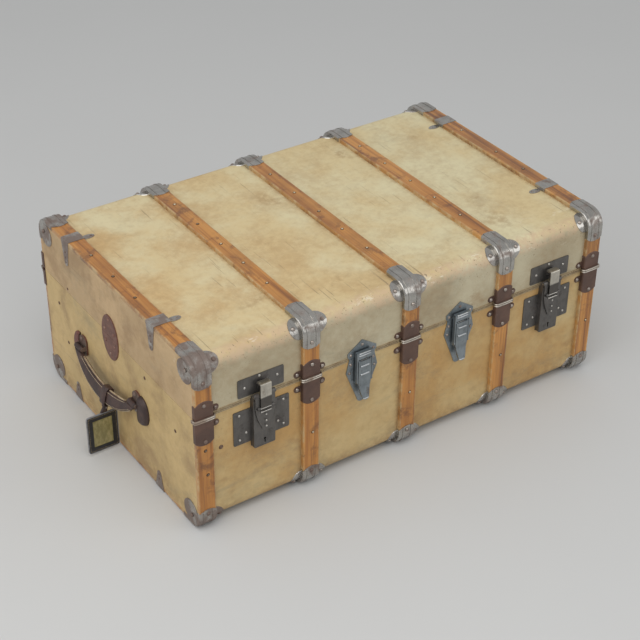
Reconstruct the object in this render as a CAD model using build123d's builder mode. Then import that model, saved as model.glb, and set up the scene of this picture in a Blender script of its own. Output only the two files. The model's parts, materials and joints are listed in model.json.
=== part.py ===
import os
from math import cos, radians, sin
from build123d import *

os.makedirs("parts", exist_ok=True)

# Driving sizes of the body, in millimetres. Z is up, X runs along the length,
# the front faces -Y, and the origin lies under the middle of the trunk.
length = 900
depth = 566
lid_height = 111
base_height = 236
edge_radius = 22
skin = 1.5
wood = 9
lining = 1
seam_gap = 0.6

# Slats run round the girth, and pressed steel covers their bends and ends.
slat_width = 34
slat_thick = 8
slat_edge = 2
slat_offset = 216
sheet = 1.2
sheet_fit = 0.15
slat_stop = 9

# Corner caps
cap_top_arm = 34
lid_cap_arm = 26
base_cap_arm = 16
cap_arch = 7
cap_rib_offset = 9
cap_rib_width = 2.4
cap_rib_rise = 0.8
cap_edge = 2.5
ear_reach = 20

# Seam clamps and hinge leaves
lid_clamp_height = 38
base_clamp_height = 56
hinge_leaf_height = 44
clamp_arch = 8
ear_lobe_radius = 6.3
ear_lobe_out = 8
lid_lobe_rise = 11.2
base_lobe_rise = 21
clamp_lip = 3
clamp_lip_proud = 2.5
hinge_radius = 4.2
hinge_root = 3.4
pin_radius = 2
pin_fit = 0.05
knuckle_gap = 0.4

# Clips on the end slats
clip_width = 28
clip_sheet = 1
lid_clip_tongue = 47
base_clip_tongue = 32
clip_tip = 6.5
clip_ear = 26
clip_front_inset = 137
clip_back_inset = 105

# Lip inside the rim, bead along the seam
lip_thick = 5
lip_drop = 40
lip_rise = 8
lip_fit = 1
bead_height = 4
bead_proud = 1.3

# Fittings on the front, by their middles along X
left_lock_x = -316
right_lock_x = 331
left_bolt_x = -104
right_bolt_x = 116
plate = 1.5
plate_corner = 3
run_gap = 0.3

# Locks
lock_plate_width = 114
lock_plate_top = -19
lock_plate_bottom = -91
lock_case_width = 44
lock_case_top = -1
lock_case_bottom = -103
lock_case_depth = 12
lock_lid_plate_width = 93
lock_lid_plate_low = 8
lock_lid_plate_high = 46
lock_ear = 1.6
lock_ear_back = 4
lock_ear_front = 11.5
lock_ear_high = 20
lock_pivot_up = 8
lock_pivot_out = 10.5
lock_eye_radius = 4.4
lock_pin_radius = 2
lever_thick = 2.5
lever_gap = 0.4
lock_lever_half = 20
lock_lever_tip = -68
lock_lever_tip_radius = 7
lock_bulge_half = 16.4
lock_bulge_up = -36.8
claw_half = 11
claw_thick = 2.5
claw_pin_up = -17
claw_eye_radius = 3
claw_trunnion = 1.5
claw_top = 34
claw_lip = 3.4
claw_lip_out = 5.5
claw_round = 2.2
catch_half = 8
catch_out = 10
catch_low = 18
key_radius = 2.4
key_up = -88
key_slot = 8.6
key_deep = 6

# Draw bolts
bolt_plate_half = 28
bolt_shoulder = 31
bolt_shoulder_up = 13
bolt_apex_up = 34
bolt_waist = 4
bolt_lid_waist = 6
bolt_base_shoulder = 34
bolt_base_shoulder_up = -29
bolt_base_tip_up = -101
bolt_base_tip_radius = 9
bolt_pivot_up = -7
bolt_pivot_out = 6.7
bolt_eye_radius = 4.8
bolt_pin_radius = 1.8
bolt_lever_half = 13.6
bolt_lever_low = -88
bolt_lever_wall = 1.5
bolt_lever_neck = 7.5
bolt_lip_out = 18
bolt_lip_thick = 3
bolt_bend_up = -62
bolt_back_out = 3
bolt_back_bend_up = -64
bolt_heel_up = -15
bolt_hollow_low = -76
bolt_hollow_high = 10
bolt_tip_rise = 6
bolt_ridge_ups = (-16, -34)
bolt_ridge_inset = 4
link_pin_up = -50
link_pin_out = 7.5
link_half = 17
link_strip = 2.2
link_top = 13
link_bar = 2.8
link_skin = 1.8
link_skin_low = -1
link_low_out = 4
link_high_out = 11
link_eye_radius = 4
link_trunnion = 1.4
bolt_catch_half = 12
bolt_catch_low = 3
bolt_catch_out = 8.5
bolt_ear_half = 9.5
bolt_ear_wall = 2
bolt_ear_stem = 1.8
bolt_web_rise = 1.5

# Handles on both ends, below the seam
handle_middle = 25
handle_span = 210
handle_up = 158
handle_pin_out = 9
handle_pin_radius = 2.4
handle_bow = 50
handle_tilt = 15
handle_broad = 30
handle_thick = 12
handle_eye = 5.5
handle_side_gap = 0.5
bracket_width = 27
bracket_high = 46
bracket_sheet = 1.6
patch_width = 40
patch_high = 60
patch_drop = 10
patch_thick = 3

# Luggage tag on the left handle
tag_shift = -18
tag_width = 64
tag_height = 84
tag_thick = 3
tag_border = 12
tag_strap_width = 18
tag_strap_thick = 1.6
tag_slack = 1.3
tag_pin_drop = 4
tag_pin_radius = 1.5
tag_lug_radius = 3
tag_lug_half = 5
tag_eye = 3.5
tag_strap_drop = 12
tag_reach = -9
tag_pane = 1

# Dowel plates across the seam on both ends
dowel_middle = 14
dowel_width = 62
dowel_height = 96
dowel_shift = -3
dowel_thick = 2.2
dowel_gap = 0.5

# Heights and planes worked out from the sizes above
slat_low = sheet + cap_rib_rise
body_low = slat_low + slat_thick
seam = body_low + base_height
body_high = seam + lid_height
body_middle = (body_low + body_high) / 2
body_height = body_high - body_low
front = -depth / 2
back = depth / 2
end = length / 2
end_slat = end - slat_width / 2
slat_places = (-end_slat, -slat_offset, 0, slat_offset, end_slat)
inner_slats = (-slat_offset, 0, slat_offset)
cap_outer = slat_thick + sheet
wrap_half = slat_width / 2 + sheet_fit
cover_half = wrap_half + sheet
hinge_y = back + cap_outer + hinge_radius / 2
far = 4 * length


def girth(grow, low, high):
    """Section of the body, rounded at its four long edges, grown and cut between two heights."""
    with BuildSketch(Plane.YZ) as section:
        with Locations((0, body_middle)):
            RectangleRounded(depth + 2 * grow, body_height + 2 * grow, edge_radius + grow)
        with Locations((0, (low + high) / 2)):
            Rectangle(far, high - low, mode=Mode.INTERSECT)
    return section.sketch


def tray(outer_grow, inner_grow, low, high):
    """Hollow half of the body between two offsets of its outside, open at the seam."""
    with BuildPart() as half:
        extrude(girth(outer_grow, low, high), amount=end + outer_grow, both=True)
        extrude(girth(inner_grow, low - far, high + far), amount=end + inner_grow, both=True,
                mode=Mode.SUBTRACT)
    return half.part


def front_plane(x, out=0.0):
    """Plane on the front face at a fitting's middle and the seam; its normal points out of the face."""
    return Plane(origin=(x, front - out, seam), x_dir=(1, 0, 0), z_dir=(0, -1, 0))


def side_plane(x):
    """Plane across a front fitting: local x points out of the front face, local y up from the seam."""
    return Plane(origin=(x, front, seam), x_dir=(0, -1, 0), z_dir=(-1, 0, 0))


def save(builder, name):
    builder.part.label = name
    export_step(builder.part, f"parts/{name}.step")


# Base and lid: plywood shells, vellum outside, paper lining inside
rim = seam - seam_gap / 2
lid_rim = seam + seam_gap / 2
with BuildPart() as base_vellum:
    add(tray(0, -skin, body_low - far, rim))
save(base_vellum, "base_vellum")

with BuildPart() as base_carcass:
    add(tray(-skin, -skin - wood, body_low - far, rim))
save(base_carcass, "base_carcass")

with BuildPart() as base_lining:
    add(tray(-skin - wood, -skin - wood - lining, body_low - far, rim - bead_height))
save(base_lining, "base_lining")

with BuildPart() as lid_vellum:
    add(tray(0, -skin, lid_rim, body_high + far))
save(lid_vellum, "lid_vellum")

with BuildPart() as lid_carcass:
    add(tray(-skin, -skin - wood, lid_rim, body_high + far))
save(lid_carcass, "lid_carcass")

with BuildPart() as lid_lining:
    add(tray(-skin - wood, -skin - wood - lining, seam + lip_rise + lip_fit, body_high + far))
save(lid_lining, "lid_lining")

# Lip that stands inside the rim and guides the lid
wall = skin + wood + lining
with BuildPart() as base_lip:
    with BuildSketch(Plane.XY.offset(seam - lip_drop)):
        Rectangle(length - 2 * wall, depth - 2 * wall)
        Rectangle(length - 2 * (wall + lip_thick), depth - 2 * (wall + lip_thick), mode=Mode.SUBTRACT)
    extrude(amount=lip_drop + lip_rise)
    chamfer(base_lip.edges().group_by(Axis.Z)[-1], lip_thick / 4)
save(base_lip, "base_lip")


def bead(low, high):
    """Bound edge of one half, a flat bead along the seam that stops at every fitting."""
    with BuildPart() as strip:
        with BuildSketch(Plane.XY.offset(low)):
            Rectangle(length + 2 * bead_proud, depth + 2 * bead_proud)
            Rectangle(length, depth, mode=Mode.SUBTRACT)
        extrude(amount=high - low)
        with Locations(*[(x, 0, seam) for x in slat_places]):
            Box(2 * (cover_half + run_gap), far, far, mode=Mode.SUBTRACT)
        for x, half in ((left_lock_x, lock_case_width / 2), (right_lock_x, lock_case_width / 2),
                        (left_bolt_x, bolt_shoulder), (right_bolt_x, bolt_shoulder)):
            with Locations((x, front, seam)):
                Box(2 * (half + run_gap), depth / 2, far, mode=Mode.SUBTRACT)
        with Locations((-end, dowel_middle, seam), (end, dowel_middle, seam)):
            Box(wood, dowel_width + 2 * run_gap, far, mode=Mode.SUBTRACT)
    return strip.part


with BuildPart() as base_bead:
    add(bead(rim - bead_height, rim))
save(base_bead, "base_bead")

with BuildPart() as lid_bead:
    add(bead(lid_rim, lid_rim + bead_height))
save(lid_bead, "lid_bead")


# Slats: straight strips of ash on each face, with softened outer edges
straight = edge_radius + sheet * 2


def slat_row(middle, size, outward):
    """Five strips of one size along X, their outward long edges rounded."""
    with BuildPart() as row:
        with Locations(*[(x, middle[0], middle[1]) for x in slat_places]):
            Box(slat_width, size[0], size[1])
        sides = [f.edges() for f in row.faces().filter_by(lambda f: f.normal_at().dot(outward) > 0.9)]
        long_edges = [e for edges in sides for e in edges if abs(e.tangent_at(0).X) < 0.5]
        fillet(long_edges, slat_edge)
    return row.part


upright_high = (seam + slat_stop + body_high - straight) / 2
upright_low = (seam - slat_stop + body_low + straight) / 2
lid_upright = body_high - straight - seam - slat_stop
base_upright = seam - slat_stop - body_low - straight
face_middle = depth / 2 + slat_thick / 2

with BuildPart() as lid_top_slats:
    add(slat_row((0, body_high + slat_thick / 2), (depth - 2 * straight, slat_thick), Vector(0, 0, 1)))
save(lid_top_slats, "lid_top_slats")

with BuildPart() as lid_front_slats:
    add(slat_row((-face_middle, upright_high), (slat_thick, lid_upright), Vector(0, -1, 0)))
save(lid_front_slats, "lid_front_slats")

with BuildPart() as lid_back_slats:
    add(slat_row((face_middle, upright_high), (slat_thick, lid_upright), Vector(0, 1, 0)))
save(lid_back_slats, "lid_back_slats")

with BuildPart() as base_front_slats:
    add(slat_row((-face_middle, upright_low), (slat_thick, base_upright), Vector(0, -1, 0)))
save(base_front_slats, "base_front_slats")

with BuildPart() as base_back_slats:
    add(slat_row((face_middle, upright_low), (slat_thick, base_upright), Vector(0, 1, 0)))
save(base_back_slats, "base_back_slats")

with BuildPart() as base_bottom_slats:
    add(slat_row((0, body_low - slat_thick / 2), (depth - 2 * straight, slat_thick), Vector(0, 0, -1)))
save(base_bottom_slats, "base_bottom_slats")


# Corner caps: pressed steel saddles swept round the long edge, with an ear on each side
def channel(plane):
    """Pressed channel over a slat, with rounded shoulders and two raised ribs."""
    with BuildSketch(plane) as section:
        with Locations((0, (sheet - slat_thick) / 2)):
            Rectangle(2 * cover_half, slat_thick + sheet)
        fillet(section.vertices().group_by(Axis.Z)[-1], cap_edge)
        with Locations((-cap_rib_offset, sheet), (cap_rib_offset, sheet)):
            Rectangle(cap_rib_width, 2 * cap_rib_rise)
        with Locations((0, -slat_thick / 2)):
            Rectangle(2 * wrap_half, slat_thick, mode=Mode.SUBTRACT)
    return section.sketch


def corner_cap(at_end, side_arm):
    """Cap of the front top edge at x = 0; at the end of the trunk its outer ear is flat."""
    top = body_high + slat_thick
    side = front - slat_thick
    top_start = front + edge_radius + cap_top_arm
    side_stop = body_high - edge_radius - side_arm
    middle_y = front + edge_radius
    middle_z = body_high - edge_radius
    with BuildPart() as cap:
        with BuildLine(Plane.YZ) as path:
            Line((top_start, top), (middle_y, top))
            RadiusArc((middle_y, top), (side, middle_z), -(edge_radius + slat_thick))
            Line((side, middle_z), (side, side_stop))
        start = Plane(origin=(0, top_start, top), x_dir=(1, 0, 0), z_dir=(0, -1, 0))
        sweep(channel(start), path=path.wires()[0])
        with BuildSketch(Plane.XY.offset(body_low)):
            with BuildLine():
                top_end = top_start - cap_arch
                Line((-cover_half, top_end), (-cover_half, side - cap_outer))
                Line((-cover_half, side - cap_outer), (cover_half, side - cap_outer))
                Line((cover_half, side - cap_outer), (cover_half, top_end))
                ThreePointArc((cover_half, top_end), (0, top_start), (-cover_half, top_end))
            make_face()
        extrude(amount=far, mode=Mode.INTERSECT)
        with BuildSketch(Plane.XZ):
            with BuildLine():
                low_end = side_stop + cap_arch
                Line((-cover_half, low_end), (-cover_half, top + cap_outer))
                Line((-cover_half, top + cap_outer), (cover_half, top + cap_outer))
                Line((cover_half, top + cap_outer), (cover_half, low_end))
                ThreePointArc((cover_half, low_end), (0, side_stop), (-cover_half, low_end))
            make_face()
        extrude(amount=far, both=True, mode=Mode.INTERSECT)
        ear_centre = Plane(origin=(0, middle_y, middle_z), x_dir=(1, 0, 0), z_dir=(0, -1, 1))
        add(rolled_ears(ear_centre, at_end))
        if at_end:
            add(flat_ear(middle_y, middle_z))
    return cap.part


def rolled_ears(plane, at_end):
    """Half-round ears bent over the body's long edge beside the channel."""
    with BuildPart() as ears:
        extrude(girth(sheet, seam, far), amount=cover_half + ear_reach, both=True)
        extrude(girth(0, seam - far, far), amount=far, both=True, mode=Mode.SUBTRACT)
        with BuildSketch(plane):
            with Locations((cover_half, 0)) if at_end else Locations((cover_half, 0), (-cover_half, 0)):
                Circle(ear_reach)
        extrude(amount=far, mode=Mode.INTERSECT)
        Box(2 * wrap_half, far, far, mode=Mode.SUBTRACT)
        if at_end:
            with Locations((-far / 2, 0, 0)):
                Box(far, far, far, mode=Mode.SUBTRACT)
    return ears.part


def flat_ear(middle_y, middle_z):
    """Ear that lies flat on the end face, outside the channel's outer wall."""
    with BuildPart() as ear:
        with BuildSketch(Plane.YZ.offset(-cover_half)):
            with Locations((middle_y, middle_z)):
                Circle(edge_radius + sheet)
        extrude(amount=sheet)
    return ear.part


def across(piece, end_piece):
    """One piece on each inner slat, and the end piece on both end slats, mirrored."""
    with BuildPart() as row:
        with Locations(*[(x, 0, 0) for x in inner_slats]):
            add(piece)
        left_piece = Pos(-end_slat, 0, 0) * end_piece
        add(left_piece)
        add(mirror(left_piece, about=Plane.YZ))
    return row.part


with BuildPart() as lid_front_caps:
    add(across(corner_cap(False, lid_cap_arm), corner_cap(True, lid_cap_arm)))
save(lid_front_caps, "lid_front_caps")

with BuildPart() as lid_back_caps:
    add(mirror(lid_front_caps.part, about=Plane.XZ))
save(lid_back_caps, "lid_back_caps")

with BuildPart() as base_front_caps:
    low_caps = across(corner_cap(False, base_cap_arm), corner_cap(True, base_cap_arm))
    add(mirror(low_caps, about=Plane.XY.offset(body_middle)))
save(base_front_caps, "base_front_caps")

with BuildPart() as base_back_caps:
    add(mirror(base_front_caps.part, about=Plane.XZ))
save(base_back_caps, "base_back_caps")


# Seam clamps: channels over the slat ends on the front, arched at the far end
def draw_lobes(rise, outer_ear):
    """Adds to the open sketch a round lobe on each side of a channel, each for one rivet."""
    for side in ((-1, 1) if outer_ear else (1,)):
        with Locations((side * (cover_half + ear_lobe_out), rise)):
            Circle(ear_lobe_radius)
        with Locations((side * (cover_half + (ear_lobe_out - sheet) / 2), rise)):
            Rectangle(ear_lobe_out + sheet, 2 * ear_lobe_radius)


def clamp(outer_ear, height, lobe_rise):
    """Clamp of the lid at x = 0, its flange just above the seam, an ear on each side."""
    with BuildPart() as piece:
        with BuildSketch(front_plane(0)):
            with BuildLine():
                shoulder = height - clamp_arch
                Line((-cover_half, seam_gap / 2), (cover_half, seam_gap / 2))
                Line((cover_half, seam_gap / 2), (cover_half, shoulder))
                ThreePointArc((cover_half, shoulder), (0, height), (-cover_half, shoulder))
                Line((-cover_half, shoulder), (-cover_half, seam_gap / 2))
            make_face()
        extrude(amount=cap_outer)
        crown = piece.faces().sort_by(Axis.Y)[0].edges()
        fillet([e for e in crown if e.center().Z > seam + clamp_lip], cap_edge)
        with BuildSketch(front_plane(0)):
            with Locations((0, height / 2 + slat_stop)):
                Rectangle(2 * wrap_half, height)
        extrude(amount=slat_thick, mode=Mode.SUBTRACT)
        with BuildSketch(front_plane(0)):
            with Locations((0, seam_gap / 2 + clamp_lip / 2)):
                Rectangle(2 * cover_half, clamp_lip)
        extrude(amount=cap_outer + clamp_lip_proud)
        with BuildSketch(front_plane(0)):
            draw_lobes(lobe_rise, outer_ear)
        extrude(amount=sheet)
    return piece.part


with BuildPart() as lid_clamps:
    high_clamp = clamp(True, lid_clamp_height, lid_lobe_rise)
    add(across(high_clamp, clamp(False, lid_clamp_height, lid_lobe_rise)))
save(lid_clamps, "lid_clamps")

with BuildPart() as base_clamps:
    low_clamp = clamp(True, base_clamp_height, base_lobe_rise)
    low_row = across(low_clamp, clamp(False, base_clamp_height, base_lobe_rise))
    add(mirror(low_row, about=Plane.XY.offset(seam)))
save(base_clamps, "base_clamps")


# Hinges: the same channels on the back slats, rolled into knuckles round a pin
knuckle = (2 * cover_half - 2 * knuckle_gap) / 3


def leaf(side, outer_ear, shifts):
    """Hinge leaf at x = 0, for the lid when side is 1 and the base when it is -1."""
    with BuildPart() as piece:
        with BuildSketch(Plane.XZ.offset(-back)):
            with BuildLine():
                root = seam + side * hinge_root
                shoulder = seam + side * (hinge_leaf_height - clamp_arch)
                Line((-cover_half, root), (cover_half, root))
                Line((cover_half, root), (cover_half, shoulder))
                arch_top = (0, seam + side * hinge_leaf_height)
                ThreePointArc((cover_half, shoulder), arch_top, (-cover_half, shoulder))
                Line((-cover_half, shoulder), (-cover_half, root))
            make_face()
        extrude(amount=-cap_outer)
        with BuildSketch(Plane.XZ.offset(-back)):
            with Locations((0, seam + side * (hinge_leaf_height / 2 + slat_stop))):
                Rectangle(2 * wrap_half, hinge_leaf_height)
        extrude(amount=-slat_thick, mode=Mode.SUBTRACT)
        with BuildSketch(Plane.XZ.offset(-back)):
            draw_lobes(seam + side * base_lobe_rise, outer_ear)
        extrude(amount=-sheet)
        with BuildSketch(Plane.YZ.offset(-knuckle / 2)):
            with Locations((hinge_y, seam)):
                Circle(hinge_radius + knuckle_gap)
        extrude(amount=far / 2, both=True, mode=Mode.SUBTRACT)
        for shift in shifts:
            with BuildSketch(Plane.YZ.offset(shift - knuckle / 2)):
                with Locations((hinge_y, seam)):
                    Circle(hinge_radius)
                with Locations((hinge_y - hinge_radius / 2, seam + side * hinge_radius)):
                    Rectangle(hinge_radius, 2 * hinge_radius)
                with Locations((hinge_y, seam)):
                    Circle(pin_radius + pin_fit, mode=Mode.SUBTRACT)
            extrude(amount=knuckle)
    return piece.part


knuckle_step = knuckle + knuckle_gap
base_knuckles = (-knuckle_step, knuckle_step)
with BuildPart() as lid_hinge_leaves:
    add(across(leaf(1, True, (0,)), leaf(1, False, (0,))))
save(lid_hinge_leaves, "lid_hinge_leaves")

with BuildPart() as base_hinge_leaves:
    add(across(leaf(-1, True, base_knuckles), leaf(-1, False, base_knuckles)))
save(base_hinge_leaves, "base_hinge_leaves")

with BuildPart() as hinge_pins:
    for pin_x in slat_places:
        with BuildSketch(Plane.YZ.offset(pin_x - cover_half)):
            with Locations((hinge_y, seam)):
                Circle(pin_radius)
        extrude(amount=2 * cover_half)
save(hinge_pins, "hinge_pins")


# Clips: domed steel straps over the end slats, with a tapering tongue on the end face
def slat_clip(y, tongue):
    """Clip of the left top slat at a place along Y."""
    half = clip_width / 2
    top = body_high + slat_thick
    with BuildPart() as clip:
        with BuildSketch(Plane.XZ.offset(-y)) as section:
            with Locations((-end_slat, top - (slat_thick - clip_sheet) / 2)):
                Rectangle(slat_width + 2 * sheet_fit + 2 * clip_sheet, slat_thick + clip_sheet)
            fillet(section.vertices().group_by(Axis.Z)[-1], cap_edge)
            with Locations((-end_slat, body_high + slat_thick / 2)):
                Rectangle(slat_width + 2 * sheet_fit, slat_thick, mode=Mode.SUBTRACT)
        extrude(amount=half, both=True)
        with BuildSketch(Plane.YZ.offset(-end - sheet_fit - clip_sheet)):
            with BuildLine():
                tip = body_high - tongue + clip_tip
                Line((y - half, body_high + slat_thick / 2), (y - clip_tip, tip))
                ThreePointArc((y - clip_tip, tip), (y, tip - clip_tip), (y + clip_tip, tip))
                Line((y + clip_tip, tip), (y + half, body_high + slat_thick / 2))
                Line((y + half, body_high + slat_thick / 2), (y - half, body_high + slat_thick / 2))
            make_face()
        extrude(amount=clip_sheet + sheet_fit)
        inner = -end + slat_width + sheet_fit
        with BuildSketch(Plane.XY.offset(body_high)):
            with Locations((inner + clip_ear / 2, y)):
                Ellipse(clip_ear / 2, clip_width / 4)
            with Locations((inner + clip_sheet / 2, y)):
                Rectangle(clip_sheet, clip_width / 2)
        extrude(amount=clip_sheet)
    return clip.part


def clip_set(tongue):
    """Two clips on each end slat of the lid."""
    with BuildPart() as clips:
        for clip_y in (clip_front_inset - depth / 2, depth / 2 - clip_back_inset):
            left_clip = slat_clip(clip_y, tongue)
            add(left_clip)
            add(mirror(left_clip, about=Plane.YZ))
    return clips.part


with BuildPart() as lid_clips:
    add(clip_set(lid_clip_tongue))
save(lid_clips, "lid_clips")

with BuildPart() as base_clips:
    add(mirror(clip_set(base_clip_tongue), about=Plane.XY.offset(body_middle)))
save(base_clips, "base_clips")


# Locks: a case on a plate, a swinging lever, and a claw that hooks over a catch on the lid
def lock_base_plate(x):
    with BuildPart() as piece:
        with BuildSketch(front_plane(x)):
            with Locations((0, (lock_plate_top + lock_plate_bottom) / 2)):
                RectangleRounded(lock_plate_width, lock_plate_top - lock_plate_bottom, plate_corner)
            with Locations((0, (lock_case_top + lock_case_bottom) / 2)):
                Rectangle(lock_case_width, lock_case_top - lock_case_bottom)
        extrude(amount=plate)
    return piece.part


def lock_case(x):
    """Case with a keyhole, its side walls carried up as ears for the lever's pivot."""
    with BuildPart() as piece:
        with BuildSketch(front_plane(x, plate)):
            with Locations((0, (lock_case_top + lock_case_bottom) / 2)):
                RectangleRounded(lock_case_width, lock_case_top - lock_case_bottom, plate_corner)
        extrude(amount=lock_case_depth - plate)
        face = piece.faces().sort_by(Axis.Y)[0]
        fillet(face.edges(), plate)
        with BuildSketch(front_plane(x, lock_case_depth)):
            with Locations((0, key_up)):
                Circle(key_radius)
            with Locations((0, key_up - key_slot / 2)):
                Rectangle(key_radius, key_slot)
        extrude(amount=-key_deep, mode=Mode.SUBTRACT)
        for way in (-1, 1):
            with BuildSketch(side_plane(x + way * (lock_case_width - lock_ear) / 2)):
                with Locations((lock_pivot_out, lock_pivot_up)):
                    Circle(lock_eye_radius)
                with Locations(((lock_ear_back + lock_ear_front) / 2, lock_pivot_up - lock_ear_high / 2)):
                    Rectangle(lock_ear_front - lock_ear_back, lock_ear_high)
                with Locations((lock_pivot_out, lock_pivot_up)):
                    Circle(lock_pin_radius + pin_fit, mode=Mode.SUBTRACT)
            extrude(amount=lock_ear / 2, both=True)
    return piece.part


def lock_lid_plate(x):
    """Plate on the lid with a raised catch under the claw's lip."""
    with BuildPart() as piece:
        with BuildSketch(front_plane(x)):
            with Locations((0, (lock_lid_plate_low + lock_lid_plate_high) / 2)):
                RectangleRounded(lock_lid_plate_width, lock_lid_plate_high - lock_lid_plate_low, plate_corner)
        extrude(amount=plate)
        catch_high = claw_top - claw_lip - run_gap
        with BuildSketch(side_plane(x)):
            with BuildLine():
                Line((plate, catch_low), (plate, catch_high))
                Line((plate, catch_high), (catch_out, catch_high))
                Line((catch_out, catch_high), (catch_out, catch_high - claw_lip))
                Line((catch_out, catch_high - claw_lip), (plate, catch_low))
            make_face()
        extrude(amount=catch_half, both=True)
    return piece.part


lever_back = lock_case_depth + lever_gap
lever_front = lever_back + lever_thick
claw_pin_out = lever_back + claw_eye_radius


def lock_lever(x):
    """Forked lever: two prongs roll back to the pivot, the body narrows to a rounded tip."""
    gap_half = claw_half + run_gap
    with BuildPart() as piece:
        with BuildSketch(front_plane(x, lever_back)):
            with BuildLine():
                tip = lock_lever_tip + lock_lever_tip_radius
                bulge = (lock_bulge_half, lock_bulge_up)
                far_bulge = (-lock_bulge_half, lock_bulge_up)
                low_left = (-lock_lever_tip_radius, tip)
                low_right = (lock_lever_tip_radius, tip)
                Line((-lock_lever_half, lock_pivot_up), (lock_lever_half, lock_pivot_up))
                Line((lock_lever_half, lock_pivot_up), (lock_lever_half, claw_pin_up))
                ThreePointArc((lock_lever_half, claw_pin_up), bulge, low_right)
                ThreePointArc(low_right, (0, lock_lever_tip), low_left)
                ThreePointArc(low_left, far_bulge, (-lock_lever_half, claw_pin_up))
                Line((-lock_lever_half, claw_pin_up), (-lock_lever_half, lock_pivot_up))
            make_face()
        extrude(amount=lever_thick)
        with BuildSketch(side_plane(x)):
            with Locations((lock_pivot_out, lock_pivot_up)):
                Circle(lock_eye_radius)
        extrude(amount=lock_lever_half, both=True)
        with BuildSketch(side_plane(x)):
            with Locations((claw_pin_out, claw_pin_up)):
                Circle(claw_eye_radius)
        extrude(amount=gap_half + 2 * lever_thick, both=True)
        window = claw_pin_up - claw_eye_radius - run_gap
        with BuildSketch(front_plane(x)):
            with Locations((0, window + far / 2)):
                Rectangle(2 * gap_half, far)
        extrude(amount=2 * lever_front, mode=Mode.SUBTRACT)
        with BuildSketch(side_plane(x)):
            with Locations((lock_pivot_out, lock_pivot_up)):
                Circle(lock_pin_radius + pin_fit)
            with Locations((claw_pin_out, claw_pin_up)):
                Circle(claw_trunnion + pin_fit)
        extrude(amount=lock_case_width, both=True, mode=Mode.SUBTRACT)
    return piece.part


def lock_claw(x):
    """Strap hinged between the prongs, its top rolled back into a lip over the catch."""
    outer = claw_pin_out + claw_eye_radius
    inner = outer - claw_thick
    with BuildPart() as piece:
        with BuildSketch(side_plane(x)) as profile:
            with Locations((claw_pin_out, claw_pin_up)):
                Circle(claw_eye_radius)
            with BuildLine():
                Line((inner, claw_pin_up), (inner, claw_top - claw_lip))
                Line((inner, claw_top - claw_lip), (claw_lip_out, claw_top - claw_lip))
                Line((claw_lip_out, claw_top - claw_lip), (claw_lip_out, claw_top))
                Line((claw_lip_out, claw_top), (outer, claw_top))
                Line((outer, claw_top), (outer, claw_pin_up))
                Line((outer, claw_pin_up), (inner, claw_pin_up))
            make_face()
        extrude(amount=claw_half, both=True)
        top_edges = piece.edges().filter_by(Axis.X).sort_by(lambda e: e.center().Z - e.center().Y)[-1:]
        fillet(top_edges, claw_round)
        with BuildSketch(side_plane(x)):
            with Locations((claw_pin_out, claw_pin_up)):
                Circle(claw_trunnion)
        extrude(amount=claw_half + run_gap + 2 * lever_thick, both=True)
    return piece.part


for side, lock_x in (("left", left_lock_x), ("right", right_lock_x)):
    with BuildPart() as lock_plate_piece:
        add(lock_base_plate(lock_x))
    save(lock_plate_piece, f"{side}_lock_plate")
    with BuildPart() as lock_case_piece:
        add(lock_case(lock_x))
    save(lock_case_piece, f"{side}_lock_case")
    with BuildPart() as lock_lid_piece:
        add(lock_lid_plate(lock_x))
    save(lock_lid_piece, f"{side}_lock_catch")
    with BuildPart() as lock_lever_piece:
        add(lock_lever(lock_x))
    save(lock_lever_piece, f"{side}_lock_lever")
    with BuildPart() as lock_claw_piece:
        add(lock_claw(lock_x))
    save(lock_claw_piece, f"{side}_lock_claw")


# Draw bolts: a lever in ears on the base pulls a link down over a catch on the lid
def bolt_base_plate(x):
    """Tapering plate on the base with two ears for the lever's pin."""
    with BuildPart() as piece:
        with BuildSketch(front_plane(x)):
            with BuildLine():
                tip = bolt_base_tip_up + bolt_base_tip_radius
                Line((-bolt_plate_half, -seam_gap / 2), (bolt_plate_half, -seam_gap / 2))
                Line((bolt_plate_half, -seam_gap / 2), (bolt_plate_half, -bolt_waist))
                Line((bolt_plate_half, -bolt_waist), (bolt_base_shoulder, bolt_base_shoulder_up))
                Line((bolt_base_shoulder, bolt_base_shoulder_up), (bolt_base_tip_radius, tip))
                tip_left = (-bolt_base_tip_radius, tip)
                ThreePointArc((bolt_base_tip_radius, tip), (0, bolt_base_tip_up), tip_left)
                Line((-bolt_base_tip_radius, tip), (-bolt_base_shoulder, bolt_base_shoulder_up))
                Line((-bolt_base_shoulder, bolt_base_shoulder_up), (-bolt_plate_half, -bolt_waist))
                Line((-bolt_plate_half, -bolt_waist), (-bolt_plate_half, -seam_gap / 2))
            make_face()
        extrude(amount=plate)
        ear_radius = bolt_eye_radius - bolt_lever_wall - run_gap
        for way in (-1, 1):
            with BuildSketch(side_plane(x + way * (bolt_ear_half - bolt_ear_wall / 2))):
                with Locations((bolt_pivot_out, bolt_pivot_up)):
                    Circle(ear_radius)
                with Locations((bolt_pivot_out / 2, bolt_pivot_up)):
                    Rectangle(bolt_pivot_out, 2 * bolt_ear_stem)
                with Locations((bolt_pivot_out, bolt_pivot_up)):
                    Circle(bolt_pin_radius + pin_fit, mode=Mode.SUBTRACT)
            extrude(amount=bolt_ear_wall / 2, both=True)
    return piece.part


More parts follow.
